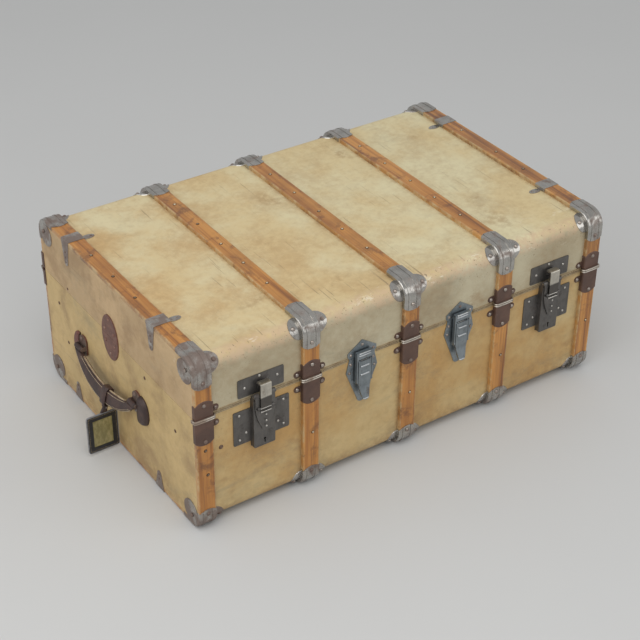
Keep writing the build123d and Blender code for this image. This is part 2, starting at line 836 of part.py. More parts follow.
def bolt_lid_plate(x):
    """House-shaped plate on the lid with a raised catch."""
    with BuildPart() as piece:
        with BuildSketch(front_plane(x)):
            with BuildLine():
                Line((-bolt_plate_half, seam_gap / 2), (bolt_plate_half, seam_gap / 2))
                Line((bolt_plate_half, seam_gap / 2), (bolt_shoulder, bolt_lid_waist))
                Line((bolt_shoulder, bolt_lid_waist), (bolt_shoulder, bolt_shoulder_up))
                Line((bolt_shoulder, bolt_shoulder_up), (0, bolt_apex_up))
                Line((0, bolt_apex_up), (-bolt_shoulder, bolt_shoulder_up))
                Line((-bolt_shoulder, bolt_shoulder_up), (-bolt_shoulder, bolt_lid_waist))
                Line((-bolt_shoulder, bolt_lid_waist), (-bolt_plate_half, seam_gap / 2))
            make_face()
        extrude(amount=plate)
        catch_high = link_top - link_bar - run_gap
        with BuildSketch(side_plane(x)):
            with BuildLine():
                Line((plate, bolt_catch_low), (plate, catch_high))
                Line((plate, catch_high), (bolt_catch_out, catch_high))
                Line((bolt_catch_out, catch_high), (bolt_catch_out, catch_high - link_bar))
                Line((bolt_catch_out, catch_high - link_bar), (plate, bolt_catch_low))
            make_face()
        extrude(amount=bolt_catch_half, both=True)
    return piece.part


def bolt_lever(x):
    """Pressed channel lever with two cross ridges and a turned-out thumb lip."""
    face_out = bolt_pivot_out + bolt_eye_radius
    inner_half = bolt_lever_half - bolt_lever_wall
    with BuildPart() as piece:
        with BuildSketch(side_plane(x)):
            with BuildLine():
                Line((bolt_pivot_out, bolt_pivot_up + bolt_eye_radius), (face_out, bolt_pivot_up))
                Line((face_out, bolt_pivot_up), (face_out, bolt_bend_up))
                Line((face_out, bolt_bend_up), (bolt_lip_out, bolt_lever_low))
                Line((bolt_lip_out, bolt_lever_low), (bolt_lip_out - bolt_lip_thick, bolt_lever_low))
                Line((bolt_lip_out - bolt_lip_thick, bolt_lever_low), (bolt_back_out, bolt_back_bend_up))
                Line((bolt_back_out, bolt_back_bend_up), (bolt_back_out, bolt_heel_up))
                Line((bolt_back_out, bolt_heel_up), (bolt_pivot_out, bolt_pivot_up + bolt_eye_radius))
            make_face()
            with Locations((bolt_pivot_out, bolt_pivot_up)):
                Circle(bolt_eye_radius)
        extrude(amount=bolt_lever_half, both=True)
        with BuildSketch(side_plane(x)):
            with Locations((face_out - bolt_lever_wall - far / 2, (bolt_hollow_low + bolt_hollow_high) / 2)):
                Rectangle(far, bolt_hollow_high - bolt_hollow_low)
            with Locations((bolt_pivot_out, bolt_pivot_up + bolt_web_rise + far / 2)):
                Rectangle(far, far)
        extrude(amount=inner_half, both=True, mode=Mode.SUBTRACT)
        with BuildSketch(front_plane(x)):
            with BuildLine():
                taper = link_pin_up - link_eye_radius
                tip = bolt_lever_low + bolt_tip_rise
                Line((-bolt_lever_half, far), (-bolt_lever_half, taper))
                Line((-bolt_lever_half, taper), (-bolt_lever_neck, tip))
                ThreePointArc((-bolt_lever_neck, tip), (0, bolt_lever_low), (bolt_lever_neck, tip))
                Line((bolt_lever_neck, tip), (bolt_lever_half, taper))
                Line((bolt_lever_half, taper), (bolt_lever_half, far))
                Line((bolt_lever_half, far), (-bolt_lever_half, far))
            make_face()
        extrude(amount=2 * bolt_lip_out, both=True, mode=Mode.INTERSECT)
        for ridge_up in bolt_ridge_ups:
            with BuildSketch(side_plane(x)):
                with Locations((face_out, ridge_up)):
                    Circle(bolt_lever_wall)
            extrude(amount=bolt_lever_half - bolt_ridge_inset, both=True)
        with BuildSketch(side_plane(x)):
            with Locations((bolt_pivot_out, bolt_pivot_up)):
                Circle(bolt_pin_radius + pin_fit)
            with Locations((link_pin_out, link_pin_up)):
                Circle(link_trunnion + pin_fit)
        extrude(amount=bolt_lever_half, both=True, mode=Mode.SUBTRACT)
    return piece.part


def bolt_link(x):
    """Hooked plate over the catch with two side bars down to the lever."""
    inner_half = link_half - link_strip
    with BuildPart() as piece:
        with BuildSketch(front_plane(x, link_low_out)):
            with Locations((0, (link_top + link_pin_up) / 2)):
                Rectangle(2 * link_half, link_top - link_pin_up)
            with Locations((0, link_top - link_bar - far / 2)):
                Rectangle(2 * inner_half, far, mode=Mode.SUBTRACT)
        extrude(amount=link_high_out - link_low_out)
        with BuildSketch(front_plane(x, link_high_out - link_skin)):
            with Locations((0, (link_top + link_skin_low) / 2)):
                Rectangle(2 * link_half, link_top - link_skin_low)
        extrude(amount=link_skin)
        with BuildSketch(side_plane(x)):
            with Locations((link_pin_out, link_pin_up)):
                Circle(link_eye_radius)
        extrude(amount=link_half, both=True)
        with BuildSketch(side_plane(x)):
            with Locations((link_pin_out, link_pin_up)):
                Circle(link_eye_radius + run_gap)
        extrude(amount=inner_half, both=True, mode=Mode.SUBTRACT)
        for way in (-1, 1):
            trunnion_middle = (bolt_lever_half + link_half - bolt_lever_wall) / 2
            with BuildSketch(side_plane(x + way * trunnion_middle)):
                with Locations((link_pin_out, link_pin_up)):
                    Circle(link_trunnion)
            extrude(amount=(link_half - bolt_lever_half + bolt_lever_wall) / 2, both=True)
    return piece.part


for side, bolt_x in (("left", left_bolt_x), ("right", right_bolt_x)):
    with BuildPart() as bolt_base_piece:
        add(bolt_base_plate(bolt_x))
    save(bolt_base_piece, f"{side}_bolt_plate")
    with BuildPart() as bolt_lid_piece:
        add(bolt_lid_plate(bolt_x))
    save(bolt_lid_piece, f"{side}_bolt_catch")
    with BuildPart() as bolt_lever_piece:
        add(bolt_lever(bolt_x))
    save(bolt_lever_piece, f"{side}_bolt_lever")
    with BuildPart() as bolt_link_piece:
        add(bolt_link(bolt_x))
    save(bolt_link_piece, f"{side}_bolt_link")

# Pins of the levers: two stubs in each lock's ears, one rod through each draw bolt
with BuildPart() as latch_pins:
    for lock_x in (left_lock_x, right_lock_x):
        for way in (-1, 1):
            pin_length = lock_case_width / 2 - claw_half - run_gap
            with BuildSketch(side_plane(lock_x + way * (lock_case_width / 2 - pin_length / 2))):
                with Locations((lock_pivot_out, lock_pivot_up)):
                    Circle(lock_pin_radius)
            extrude(amount=pin_length / 2, both=True)
    for bolt_x in (left_bolt_x, right_bolt_x):
        with BuildSketch(side_plane(bolt_x)):
            with Locations((bolt_pivot_out, bolt_pivot_up)):
                Circle(bolt_pin_radius)
        extrude(amount=bolt_lever_half, both=True)
save(latch_pins, "latch_pins")


# Dowel plates: an oval split at the seam, on the middle of each end
def dowel_half(low, high):
    with BuildPart() as piece:
        with BuildSketch(Plane.YZ.offset(-end - dowel_thick)):
            with Locations((dowel_middle, seam + dowel_shift)):
                Ellipse(dowel_width / 2, dowel_height / 2)
            with Locations((dowel_middle, (low + high) / 2)):
                Rectangle(far, high - low, mode=Mode.INTERSECT)
        extrude(amount=dowel_thick)
        rim_edges = piece.faces().sort_by(Axis.X)[0].edges().filter_by(GeomType.LINE, reverse=True)
        chamfer(rim_edges, dowel_thick / 3)
    return piece.part


with BuildPart() as lid_dowel_plates:
    lid_dowel = dowel_half(seam + dowel_gap / 2, seam + far)
    add(lid_dowel)
    add(mirror(lid_dowel, about=Plane.YZ))
save(lid_dowel_plates, "lid_dowel_plates")

with BuildPart() as base_dowel_plates:
    base_dowel = dowel_half(seam - far, seam - dowel_gap / 2)
    add(base_dowel)
    add(mirror(base_dowel, about=Plane.YZ))
save(base_dowel_plates, "base_dowel_plates")


# Handles: half-moon leather patches, steel brackets with pins, and a bowed leather grip
handle_ends = (handle_middle - handle_span / 2, handle_middle + handle_span / 2)
pin_x = -end - patch_thick - handle_pin_out
bow_way = Vector(-sin(radians(handle_tilt)), 0, -cos(radians(handle_tilt)))
bow_plane = Plane(origin=(pin_x, handle_middle, handle_up), x_dir=(0, 1, 0),
                  z_dir=(cos(radians(handle_tilt)), 0, -sin(radians(handle_tilt))))
lug_radius = handle_pin_radius + bracket_sheet

with BuildPart() as handle_patches:
    for place, way in zip(handle_ends, (-1, 1)):
        with BuildSketch(Plane.YZ.offset(-end - patch_thick)):
            with Locations((place - way * bracket_width / 2, handle_up - patch_drop)):
                Ellipse(patch_width, patch_high / 2)
            with Locations((place + way * (far / 2 - bracket_width / 2), handle_up)):
                Rectangle(far, far, mode=Mode.INTERSECT)
        extrude(amount=patch_thick)

with BuildPart() as handle_brackets:
    for place in handle_ends:
        with BuildSketch(Plane.YZ.offset(-end - patch_thick - bracket_sheet)):
            with Locations((place, handle_up)):
                SlotOverall(bracket_high, bracket_width, rotation=90)
        extrude(amount=bracket_sheet)
        for way in (-1, 1):
            with BuildSketch(Plane.XZ.offset(-place - way * (bracket_width - bracket_sheet) / 2)):
                with Locations((pin_x, handle_up)):
                    Circle(lug_radius)
                with Locations((pin_x + handle_pin_out / 2, handle_up)):
                    Rectangle(handle_pin_out, 2 * lug_radius)
            extrude(amount=bracket_sheet / 2, both=True)
        with BuildSketch(Plane.XZ.offset(-place)):
            with Locations((pin_x, handle_up)):
                Circle(handle_pin_radius)
        extrude(amount=bracket_width / 2, both=True)

# Grip: a flat strap bowed in its own plane, broad in the middle, with an eye round each pin
eye_half = bracket_width / 2 - bracket_sheet - handle_side_gap
tab_start = lug_radius + handle_side_gap
with BuildPart() as handle_grip:
    with BuildSketch(bow_plane):
        with BuildLine():
            half = handle_span / 2
            outer_x = half + eye_half
            inner_x = half - eye_half
            ThreePointArc((-outer_x, -tab_start), (0, -handle_bow), (outer_x, -tab_start))
            Line((outer_x, -tab_start), (inner_x, -tab_start))
            ThreePointArc((inner_x, -tab_start), (0, handle_broad - handle_bow), (-inner_x, -tab_start))
            Line((-inner_x, -tab_start), (-outer_x, -tab_start))
        make_face()
    extrude(amount=handle_thick / 2, both=True)
    bend_edges = handle_grip.edges().filter_by(lambda e: e.length > handle_span * 0.9)
    chamfer(bend_edges, handle_thick / 5)
    for place in handle_ends:
        with BuildSketch(Plane.XZ.offset(-place)):
            with Locations((pin_x, handle_up)):
                Circle(handle_eye)
            with Locations(Plane(origin=(pin_x, handle_up, 0))):
                with Locations((bow_way.X * tab_start, bow_way.Z * tab_start)):
                    Circle(handle_eye)
        extrude(amount=eye_half, both=True)
    for place in handle_ends:
        with BuildSketch(Plane.XZ.offset(-place)):
            with Locations((pin_x, handle_up)):
                Circle(handle_pin_radius + pin_fit)
        extrude(amount=bracket_width, both=True, mode=Mode.SUBTRACT)

for side in ("left", "right"):
    for piece, name in ((handle_patches, "handle_patches"), (handle_brackets, "handle_brackets"),
                        (handle_grip, "handle_grip")):
        with BuildPart() as placed:
            add(piece.part if side == "left" else mirror(piece.part, about=Plane.YZ))
        save(placed, f"{side}_{name}")

# Luggage tag: a keeper round the left grip, a strap on its pin, and a frame with a clear window
tag_y = handle_middle + tag_shift
keeper_plane = Plane(origin=(pin_x, tag_y, handle_up), x_dir=bow_plane.z_dir, z_dir=(0, 1, 0))
keeper_half = handle_thick / 2 + tag_slack
keeper_near = handle_bow - handle_broad - 2 * tag_slack
keeper_far = handle_bow + tag_slack
tag_pin_away = keeper_far + tag_strap_thick + tag_pin_drop
tag_pin = Vector(pin_x, tag_y, handle_up) + bow_way * tag_pin_away
away = 1 if (keeper_plane.y_dir.dot(bow_way) > 0) else -1

with BuildPart() as tag_keeper:
    with BuildSketch(keeper_plane):
        with Locations((0, away * (keeper_near + keeper_far) / 2)):
            Rectangle(2 * (keeper_half + tag_strap_thick), keeper_far - keeper_near + 2 * tag_strap_thick)
            Rectangle(2 * keeper_half, keeper_far - keeper_near, mode=Mode.SUBTRACT)
    extrude(amount=tag_strap_width / 2, both=True)
    for way in (-1, 1):
        with BuildSketch(keeper_plane.offset(way * (tag_lug_half + tag_strap_thick / 2))):
            with Locations((0, away * tag_pin_away)):
                Circle(tag_lug_radius)
            with Locations((0, away * (keeper_far + tag_pin_drop / 2 + tag_strap_thick / 2))):
                Rectangle(2 * tag_lug_radius, tag_pin_drop + tag_strap_thick)
        extrude(amount=tag_strap_thick / 2, both=True)
    with BuildSketch(keeper_plane):
        with Locations((0, away * tag_pin_away)):
            Circle(tag_pin_radius)
    extrude(amount=tag_lug_half + tag_strap_thick, both=True)
save(tag_keeper, "tag_keeper")

tag_top = tag_pin.Z - tag_strap_drop
tag_centre_x = tag_pin.X + tag_reach
with BuildPart() as tag_strap:
    with BuildSketch(Plane.XZ.offset(-tag_y)):
        with BuildLine():
            strap_low = tag_top - tag_border
            Line((tag_pin.X - tag_eye, tag_pin.Z), (tag_pin.X + tag_eye, tag_pin.Z))
            Line((tag_pin.X + tag_eye, tag_pin.Z), (tag_centre_x + tag_strap_width / 2, strap_low))
            ThreePointArc((tag_centre_x + tag_strap_width / 2, strap_low),
                          (tag_centre_x, strap_low - tag_strap_width / 4),
                          (tag_centre_x - tag_strap_width / 2, strap_low))
            Line((tag_centre_x - tag_strap_width / 2, strap_low), (tag_pin.X - tag_eye, tag_pin.Z))
        make_face()
    extrude(amount=tag_strap_thick / 2, both=True)
    with BuildSketch(Plane.XZ.offset(-tag_y)):
        with Locations((tag_pin.X, tag_pin.Z)):
            Circle(tag_eye)
    extrude(amount=tag_lug_half - run_gap, both=True)
    with BuildSketch(Plane.XZ.offset(-tag_y)):
        with Locations((tag_pin.X, tag_pin.Z)):
            Circle(tag_pin_radius + pin_fit)
    extrude(amount=tag_strap_width, both=True, mode=Mode.SUBTRACT)
save(tag_strap, "tag_strap")

tag_face = tag_y - tag_strap_thick / 2
with BuildPart() as tag_frame:
    with BuildSketch(Plane.XZ.offset(-tag_face)):
        with Locations((tag_centre_x, tag_top - tag_height / 2)):
            RectangleRounded(tag_width, tag_height, tag_border / 2)
            Rectangle(tag_width - 2 * tag_border, tag_height - 2 * tag_border, mode=Mode.SUBTRACT)
    extrude(amount=tag_thick)
save(tag_frame, "tag_frame")

with BuildPart() as tag_window:
    with BuildSketch(Plane.XZ.offset(-tag_face + (tag_thick - tag_pane) / 2)):
        with Locations((tag_centre_x, tag_top - tag_height / 2)):
            Rectangle(tag_width - 2 * tag_border, tag_height - 2 * tag_border)
    extrude(amount=tag_pane)
save(tag_window, "tag_window")
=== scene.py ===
import json
import math

import bpy
import numpy as np
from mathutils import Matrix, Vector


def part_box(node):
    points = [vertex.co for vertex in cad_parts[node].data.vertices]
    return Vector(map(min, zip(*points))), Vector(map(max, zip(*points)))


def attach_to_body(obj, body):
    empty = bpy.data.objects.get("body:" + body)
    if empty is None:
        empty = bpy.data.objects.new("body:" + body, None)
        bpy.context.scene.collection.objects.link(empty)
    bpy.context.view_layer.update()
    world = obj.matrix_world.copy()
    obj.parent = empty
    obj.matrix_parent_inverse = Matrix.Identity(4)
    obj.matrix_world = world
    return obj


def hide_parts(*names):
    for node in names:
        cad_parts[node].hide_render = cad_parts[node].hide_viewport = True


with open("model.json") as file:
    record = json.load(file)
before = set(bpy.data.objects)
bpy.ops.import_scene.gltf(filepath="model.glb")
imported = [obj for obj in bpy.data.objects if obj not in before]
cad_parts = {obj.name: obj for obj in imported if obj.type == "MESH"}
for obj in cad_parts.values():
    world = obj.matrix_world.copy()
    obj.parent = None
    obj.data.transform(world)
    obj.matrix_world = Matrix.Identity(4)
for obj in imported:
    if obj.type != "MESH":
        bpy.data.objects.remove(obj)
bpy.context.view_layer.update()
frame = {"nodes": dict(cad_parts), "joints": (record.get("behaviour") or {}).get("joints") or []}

# The view
# The photograph looks down on the trunk from beyond its front left corner, through a long
# lens, so the camera stands well back and the far end narrows only a little.
view_azimuth = math.radians(-34.171)
view_elevation = math.radians(34.239)
view_roll = math.radians(0.480)
view_centre = np.array((0.1253, 0.1875, -0.0326))
view_distance = 3.3732
view_far = 60
focal_length = 88.04

level = math.cos(view_elevation)
behind = np.array((math.sin(view_azimuth) * level, -math.cos(view_azimuth) * level, math.sin(view_elevation)))
across = np.cross(-behind, (0, 0, 1))
across /= np.linalg.norm(across)
upward = np.cross(across, -behind)
rolled_across = math.cos(view_roll) * across + math.sin(view_roll) * upward
rolled_upward = math.cos(view_roll) * upward - math.sin(view_roll) * across
view = bpy.data.objects.new("view", bpy.data.cameras.new("view"))
view.data.lens = focal_length
view.data.clip_end = view_far
placing = np.eye(4)
placing[:3, :3] = np.stack((rolled_across, rolled_upward, behind), axis=1)
placing[:3, 3] = view_centre + view_distance * behind
view.matrix_world = placing.T.tolist()
bpy.context.scene.collection.objects.link(view)
bpy.context.scene.camera = view


# The studio
# A plain pale floor under soft light: one wide lamp overhead towards the front left, weaker
# ones from the front right and the left end, and an even pale surround.
class Value:
    """A number socket of a material, so that masks are written as sums and products."""

    def __init__(self, finish, socket):
        self.finish = finish
        self.socket = socket

    def math(self, operation, *numbers):
        return self.finish.node("ShaderNodeMath", {"operation": operation}, dict(enumerate(numbers)))

    def __add__(self, other):
        return self.math("ADD", self, other)

    __radd__ = __add__

    def __sub__(self, other):
        return self.math("SUBTRACT", self, other)

    def __rsub__(self, other):
        return self.math("SUBTRACT", other, self)

    def __mul__(self, other):
        return self.math("MULTIPLY", self, other)

    __rmul__ = __mul__

    def __truediv__(self, other):
        return self.math("DIVIDE", self, other)

    def __abs__(self):
        return self.math("ABSOLUTE", self)

    def lowest(self, other):
        return self.math("MINIMUM", self, other)

    def highest(self, other):
        return self.math("MAXIMUM", self, other)

    def wave(self, pitch):
        """Sine of this length, with one crest in every pitch."""
        return self.math("SINE", self * (2 * math.pi / pitch))

    def rise(self, low, high):
        """0 below low and 1 above high, easing in between; low above high turns it round."""
        turned = low > high
        ends = {"Value": self, "From Min": min(low, high), "From Max": max(low, high)}
        eased = self.finish.node("ShaderNodeMapRange", {"interpolation_type": "SMOOTHSTEP"}, ends)
        return 1 - eased if turned else eased


class Finish:
    """A material being made; every node but those of sums comes from its node method."""

    def __init__(self, name, **shader_values):
        self.material = bpy.data.materials.new(name)
        self.material.use_nodes = True
        self.tree = self.material.node_tree
        self.shader = self.tree.nodes["Principled BSDF"]
        for socket, value in shader_values.items():
            self.shader.inputs[socket.replace("_", " ")].default_value = value
        place = self.node("ShaderNodeTexCoord", {}, {}, out="Object")
        self.place = place
        self.x, self.y, self.z = (self.node("ShaderNodeSeparateXYZ", {}, {0: place}, out=k) for k in range(3))

    def node(self, kind, settings, inputs, out=0):
        made = self.tree.nodes.new(kind)
        for name, value in settings.items():
            setattr(made, name, value)
        for key, value in inputs.items():
            if isinstance(value, Value):
                self.tree.links.new(value.socket, made.inputs[key])
            else:
                made.inputs[key].default_value = value
        return Value(self, made.outputs[out])

    def stretched(self, scale, turn=(0, 0, 0), shift=(0, 0, 0)):
        """Object coordinates scaled along the axes, to draw grain, brushing or long scratches."""
        return self.node("ShaderNodeMapping", {}, {0: self.place, 1: shift, 2: turn, 3: scale})

    def noise(self, scale, detail=4.0, roughness=0.55, place=None, bend=0.0):
        inputs = {"Vector": place or self.place, "Scale": scale, "Detail": detail, "Roughness": roughness,
                  "Distortion": bend}
        return self.node("ShaderNodeTexNoise", {}, inputs)

    def cells(self, scale):
        """Distance from the nearest of many scattered points, which gives leather its pebbles."""
        inputs = {"Vector": self.place, "Scale": scale}
        return self.node("ShaderNodeTexVoronoi", {"feature": "F1"}, inputs, "Distance")

    def blend(self, amount, first, second):
        """Colour that goes from first to second as amount goes from 0 to 1."""
        pair = [c if isinstance(c, Value) else (*c, 1.0) for c in (first, second)]
        return self.node("ShaderNodeMix", {"data_type": "RGBA"}, {0: amount, 6: pair[0], 7: pair[1]}, out=2)

    def relief(self, height, depth):
        """Bump of a height between 0 and 1, with the depth that 1 stands for in metres."""
        bump = self.node("ShaderNodeBump", {}, {"Height": height, "Distance": depth, "Strength": 1.0})
        self.tree.links.new(bump.socket, self.shader.inputs["Normal"])

    def wear(self, **sockets):
        for name, value in sockets.items():
            self.tree.links.new(value.socket, self.shader.inputs[name.replace("_", " ")])
        return self.material


def surface(name, points, faces, finish, smooth=True):
    """Object of an array of points and a list of faces, with its place in its mesh."""
    mesh = bpy.data.meshes.new(name)
    mesh.from_pydata(points.tolist(), [], faces)
    if smooth:
        mesh.shade_smooth()
    else:
        mesh.shade_flat()
    mesh.materials.append(finish)
    made = bpy.data.objects.new(name, mesh)
    bpy.context.scene.collection.objects.link(made)
    return made


def shade(colour, share):
    """The colour darkened to share of its light, or lightened where share is over 1."""
    return tuple(share * c for c in colour)


floor_half = 14.0
floor_colour = (0.62, 0.62, 0.61)
surround_colour = (0.93, 0.94, 0.95, 1.0)
surround_light = 0.55
surround_seen = 0.9
lamp_target = (0, 0, 0.2)
lamp_faces = {"overhead": ((-1.1, -1.3, 3.0), 3.0, 52.0), "front": ((2.6, -3.2, 1.6), 2.4, 20.0),
              "end": ((-3.4, 0.4, 1.6), 2.4, 18.0)}

floor_finish = Finish("pale_floor", Roughness=0.7)
floor_tone = floor_finish.blend(floor_finish.noise(1.5), floor_colour, shade(floor_colour, 0.96))
floor_corners = floor_half * np.array(((-1, -1, 0), (1, -1, 0), (1, 1, 0), (-1, 1, 0)), float)
floor_material = floor_finish.wear(Base_Color=floor_tone)
floor = surface("floor", floor_corners, [(0, 1, 2, 3)], floor_material, smooth=False)

surround = bpy.data.worlds.new("surround")
surround.use_nodes = True
sky = surround.node_tree.nodes["Background"]
sky.inputs["Color"].default_value = surround_colour
rays = surround.node_tree.nodes.new("ShaderNodeLightPath")
seen = surround.node_tree.nodes.new("ShaderNodeMapRange")
seen.inputs["To Min"].default_value = surround_light
seen.inputs["To Max"].default_value = surround_seen
surround.node_tree.links.new(rays.outputs["Is Camera Ray"], seen.inputs["Value"])
surround.node_tree.links.new(seen.outputs["Result"], sky.inputs["Strength"])
bpy.context.scene.world = surround
bpy.context.scene.view_settings.view_transform = "Standard"

for lamp_name, (stand, width, power) in lamp_faces.items():
    lamp = bpy.data.objects.new(lamp_name, bpy.data.lights.new(lamp_name, "AREA"))
    lamp.data.size = width
    lamp.data.energy = power
    towards = np.array(lamp_target) - stand
    towards /= np.linalg.norm(towards)
    sideways = np.cross(towards, (0, 0, 1))
    sideways /= np.linalg.norm(sideways)
    aim = np.eye(4)
    aim[:3, :3] = np.stack((sideways, np.cross(sideways, towards), -towards), axis=1)
    aim[:3, 3] = stand
    lamp.matrix_world = aim.T.tolist()
    bpy.context.scene.collection.objects.link(lamp)

# The vellum
# Cream calfskin glued over the plywood box. It has yellowed in cloudy patches, gone brown
# along the slats and the seam, and is scuffed and scratched most along the lid's front edge.
seam_half = 0.0003
shell_low, shell_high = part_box("base_vellum")[0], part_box("lid_vellum")[1]
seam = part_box("lid_vellum")[0].z - seam_half
front, back, end = shell_low.y, shell_high.y, shell_high.x
bottom, top = shell_low.z, shell_high.z
slat_pitch = 0.216
slat_half = 0.017

cream = (0.66, 0.53, 0.29)
pale_cream = (0.70, 0.63, 0.40)
amber = (0.62, 0.40, 0.17)
bleached = (0.42, 0.35, 0.225)
bleached_pale = (0.56, 0.50, 0.345)
bleached_end = (0.50, 0.35, 0.19)
ochre = (0.52, 0.315, 0.115)
ochre_pale = (0.60, 0.45, 0.22)
ochre_end = (0.54, 0.39, 0.18)
end_stain = (0.30, 0.19, 0.10)
rubbed_edge = (0.62, 0.45, 0.29)
smudge = (0.20, 0.18, 0.13)
hide_brown = (0.30, 0.17, 0.07)
scratch_dark = (0.24, 0.17, 0.10)
scratch_pale = (0.86, 0.80, 0.64)
# Each set of long scratches: how it is turned and shifted, and how rare it is.
scratch_sets = (((0.3, 0.2, 0.5), 1.0, 0.745), ((0.9, -0.4, -0.7), 4.0, 0.75),
                ((0.1, 0.8, 1.5), 9.0, 0.75), ((0.5, -0.9, 0.1), 13.0, 0.755))


def slat_distance(finish):
    """Distance along X from the nearest slat's middle."""
    side = abs(finish.x)
    return side.lowest(abs(side - slat_pitch)).lowest(abs(side - (end - slat_half)))


def vellum(name, face_colour, face_pale, end_colour):
    """Hide in its own colours on the top, the long faces and the ends, then dirt, stains and wear."""
    skin = Finish(name, Roughness=0.5, Specular_IOR_Level=0.4)
    clouds = skin.noise(5.0, 6, 0.62, bend=0.2)
    patches = skin.noise(11, 6, 0.62, bend=0.25)
    mottle = skin.noise(70, 5, 0.7)
    specks = skin.noise(330, 3, 0.6)
    warm_side = skin.x.rise(0.25, -0.42)
    lid_top = skin.z.rise(top - 0.016, top - 0.002)
    on_end = abs(skin.x).rise(end - 0.004, end - 0.001)
    top_tone = skin.blend(clouds.rise(0.36, 0.62), pale_cream, cream)
    yellowing = (patches.rise(0.36, 0.74) * 0.55 + clouds * 0.45) * (warm_side * 0.8 + 0.12)
    top_tone = skin.blend(yellowing, top_tone, amber)
    side_tone = skin.blend(clouds.rise(0.38, 0.66), face_pale, face_colour)
    end_tone = skin.blend(clouds.rise(0.36, 0.62), shade(end_colour, 1.18), end_colour)
    end_tone = skin.blend(patches.rise(0.48, 0.66) * 0.45, end_tone, end_stain)
    tone = skin.blend(on_end, side_tone, end_tone)
    tone = skin.blend(lid_top * (1 - on_end), tone, top_tone)
    mottle_tone = (mottle * 0.5 + patches * 0.5).rise(0.4, 0.66)
    tone = skin.blend(mottle_tone * 0.30, tone, hide_brown)
    smear_place = skin.stretched((1, 1, 2.2), shift=(2, 5, 1))
    smears = skin.noise(4.0, 6, 0.75, smear_place, bend=0.4).rise(0.52, 0.7)
    tone = skin.blend(smears * 0.34 * (1 - lid_top * 0.6), tone, smudge)
    tone = skin.blend(specks.rise(0.64, 0.72) * patches.rise(0.42, 0.6) * 0.45, tone, scratch_dark)
    edge_dirt = slat_distance(skin).rise(0.025, 0.0168) * (1 - on_end)
    foot_dirt = skin.z.rise(bottom + 0.05, bottom)
    dirt = (edge_dirt * 0.5 + foot_dirt * 0.5) * mottle.rise(0.25, 0.7)
    tone = skin.blend(dirt, tone, hide_brown)
    stains = skin.noise(9, 3, 0.5, skin.stretched((1, 1, 1.6), shift=(3, 7, 2))).rise(0.64, 0.74)
    tone = skin.blend(stains * 0.4 * mottle.rise(0.3, 0.6), tone, hide_brown)
    bend_wear = skin.z.rise(top - 0.030, top - 0.014) * skin.y.rise(front + 0.034, front + 0.012)
    tone = skin.blend(bend_wear * mottle.rise(0.32, 0.6) * 0.7, tone, rubbed_edge)
    edge_wear = skin.z.rise(top - 0.05, top - 0.012) * skin.y.rise(front + 0.10, front + 0.012)
    lines = 0
    for turn, shift, rarity in scratch_sets:
        run = skin.noise(1.0, 1, 0.4, skin.stretched((300, 7.5, 300), turn, (shift, shift, 0)), bend=0.2)
        lines = run.rise(rarity - 0.01, rarity + 0.015) + lines
    rare = skin.noise(8, 2, 0.5).rise(0.48, 0.6)
    lines = lines * (rare * 0.55 + edge_wear * 0.9 + 0.08).lowest(1.0)
    nick_place = skin.stretched((0.35, 1, 1), shift=(1, 0, 4))
    nicks = skin.noise(95, 4, 0.8, nick_place).rise(0.665, 0.70) * (bend_wear + 0.08).lowest(1.0)
    scrape_place = skin.stretched((0.5, 1.3, 1.3), (0, 0, 0.2))
    scrapes = skin.noise(22, 5, 0.75, scrape_place).rise(0.6, 0.68) * edge_wear
    tone = skin.blend(scrapes * 0.5, tone, scratch_pale)
    tone = skin.blend((lines * 0.75 + nicks * 0.9).lowest(1.0), tone, scratch_dark)
    grain = skin.cells(900)
    swell = grain * 0.14 + mottle * 0.3 + clouds * 0.9
    skin.relief(swell - lines * 0.3 - nicks * 0.4 + scrapes * 0.15, 0.0011)
    shine = 0.42 + mottle * 0.22 + dirt * 0.15
    return skin.wear(Base_Color=tone, Roughness=shine)


def cover(node, finish):
    """Gives a CAD node its finish."""
    made = frame["nodes"][node].data.materials
    made.clear()
    made.append(finish)


cover("lid_vellum", vellum("lid_vellum", bleached, bleached_pale, bleached_end))
cover("base_vellum", vellum("base_vellum", ochre, ochre_pale, ochre_end))

# The bound seam
# Each half's edge is bound with a narrow folded strip of the same hide, rolled into two fine
# ridges with a dark line of dirt between them.
ridge_pitch = 0.0022
binding_pale = (0.56, 0.44, 0.26)
binding_dark = (0.40, 0.28, 0.14)
seam_dirt = (0.075, 0.045, 0.022)
binding = Finish("binding", Roughness=0.55)
ridge_wave = (binding.z - seam).wave(ridge_pitch)
binding_tone = binding.blend(binding.noise(60, 5, 0.6).rise(0.35, 0.7), binding_pale, binding_dark)
binding_tone = binding.blend(ridge_wave.rise(-0.1, -0.7) * 0.9, binding_tone, seam_dirt)
binding.relief(ridge_wave * 0.5 + 0.5, 0.0009)
binding_finish = binding.wear(Base_Color=binding_tone)
cover("base_bead", binding_finish)
cover("lid_bead", binding_finish)

# The inside
# The box is bare plywood at its rims and lined with plain striped cloth on paper; the lip
# that locates the lid is covered in the same cloth. The stripes stand upright on every wall.
ply = Finish("plywood", Roughness=0.7)
layers = ply.noise(1.0, 4, 0.6, ply.stretched((7, 7, 700)))
ply_tone = ply.blend(layers.rise(0.35, 0.65), (0.62, 0.44, 0.25), (0.40, 0.25, 0.12))
ply.relief(layers, 0.0003)
ply_finish = ply.wear(Base_Color=ply_tone)
cover("base_carcass", ply_finish)
cover("lid_carcass", ply_finish)

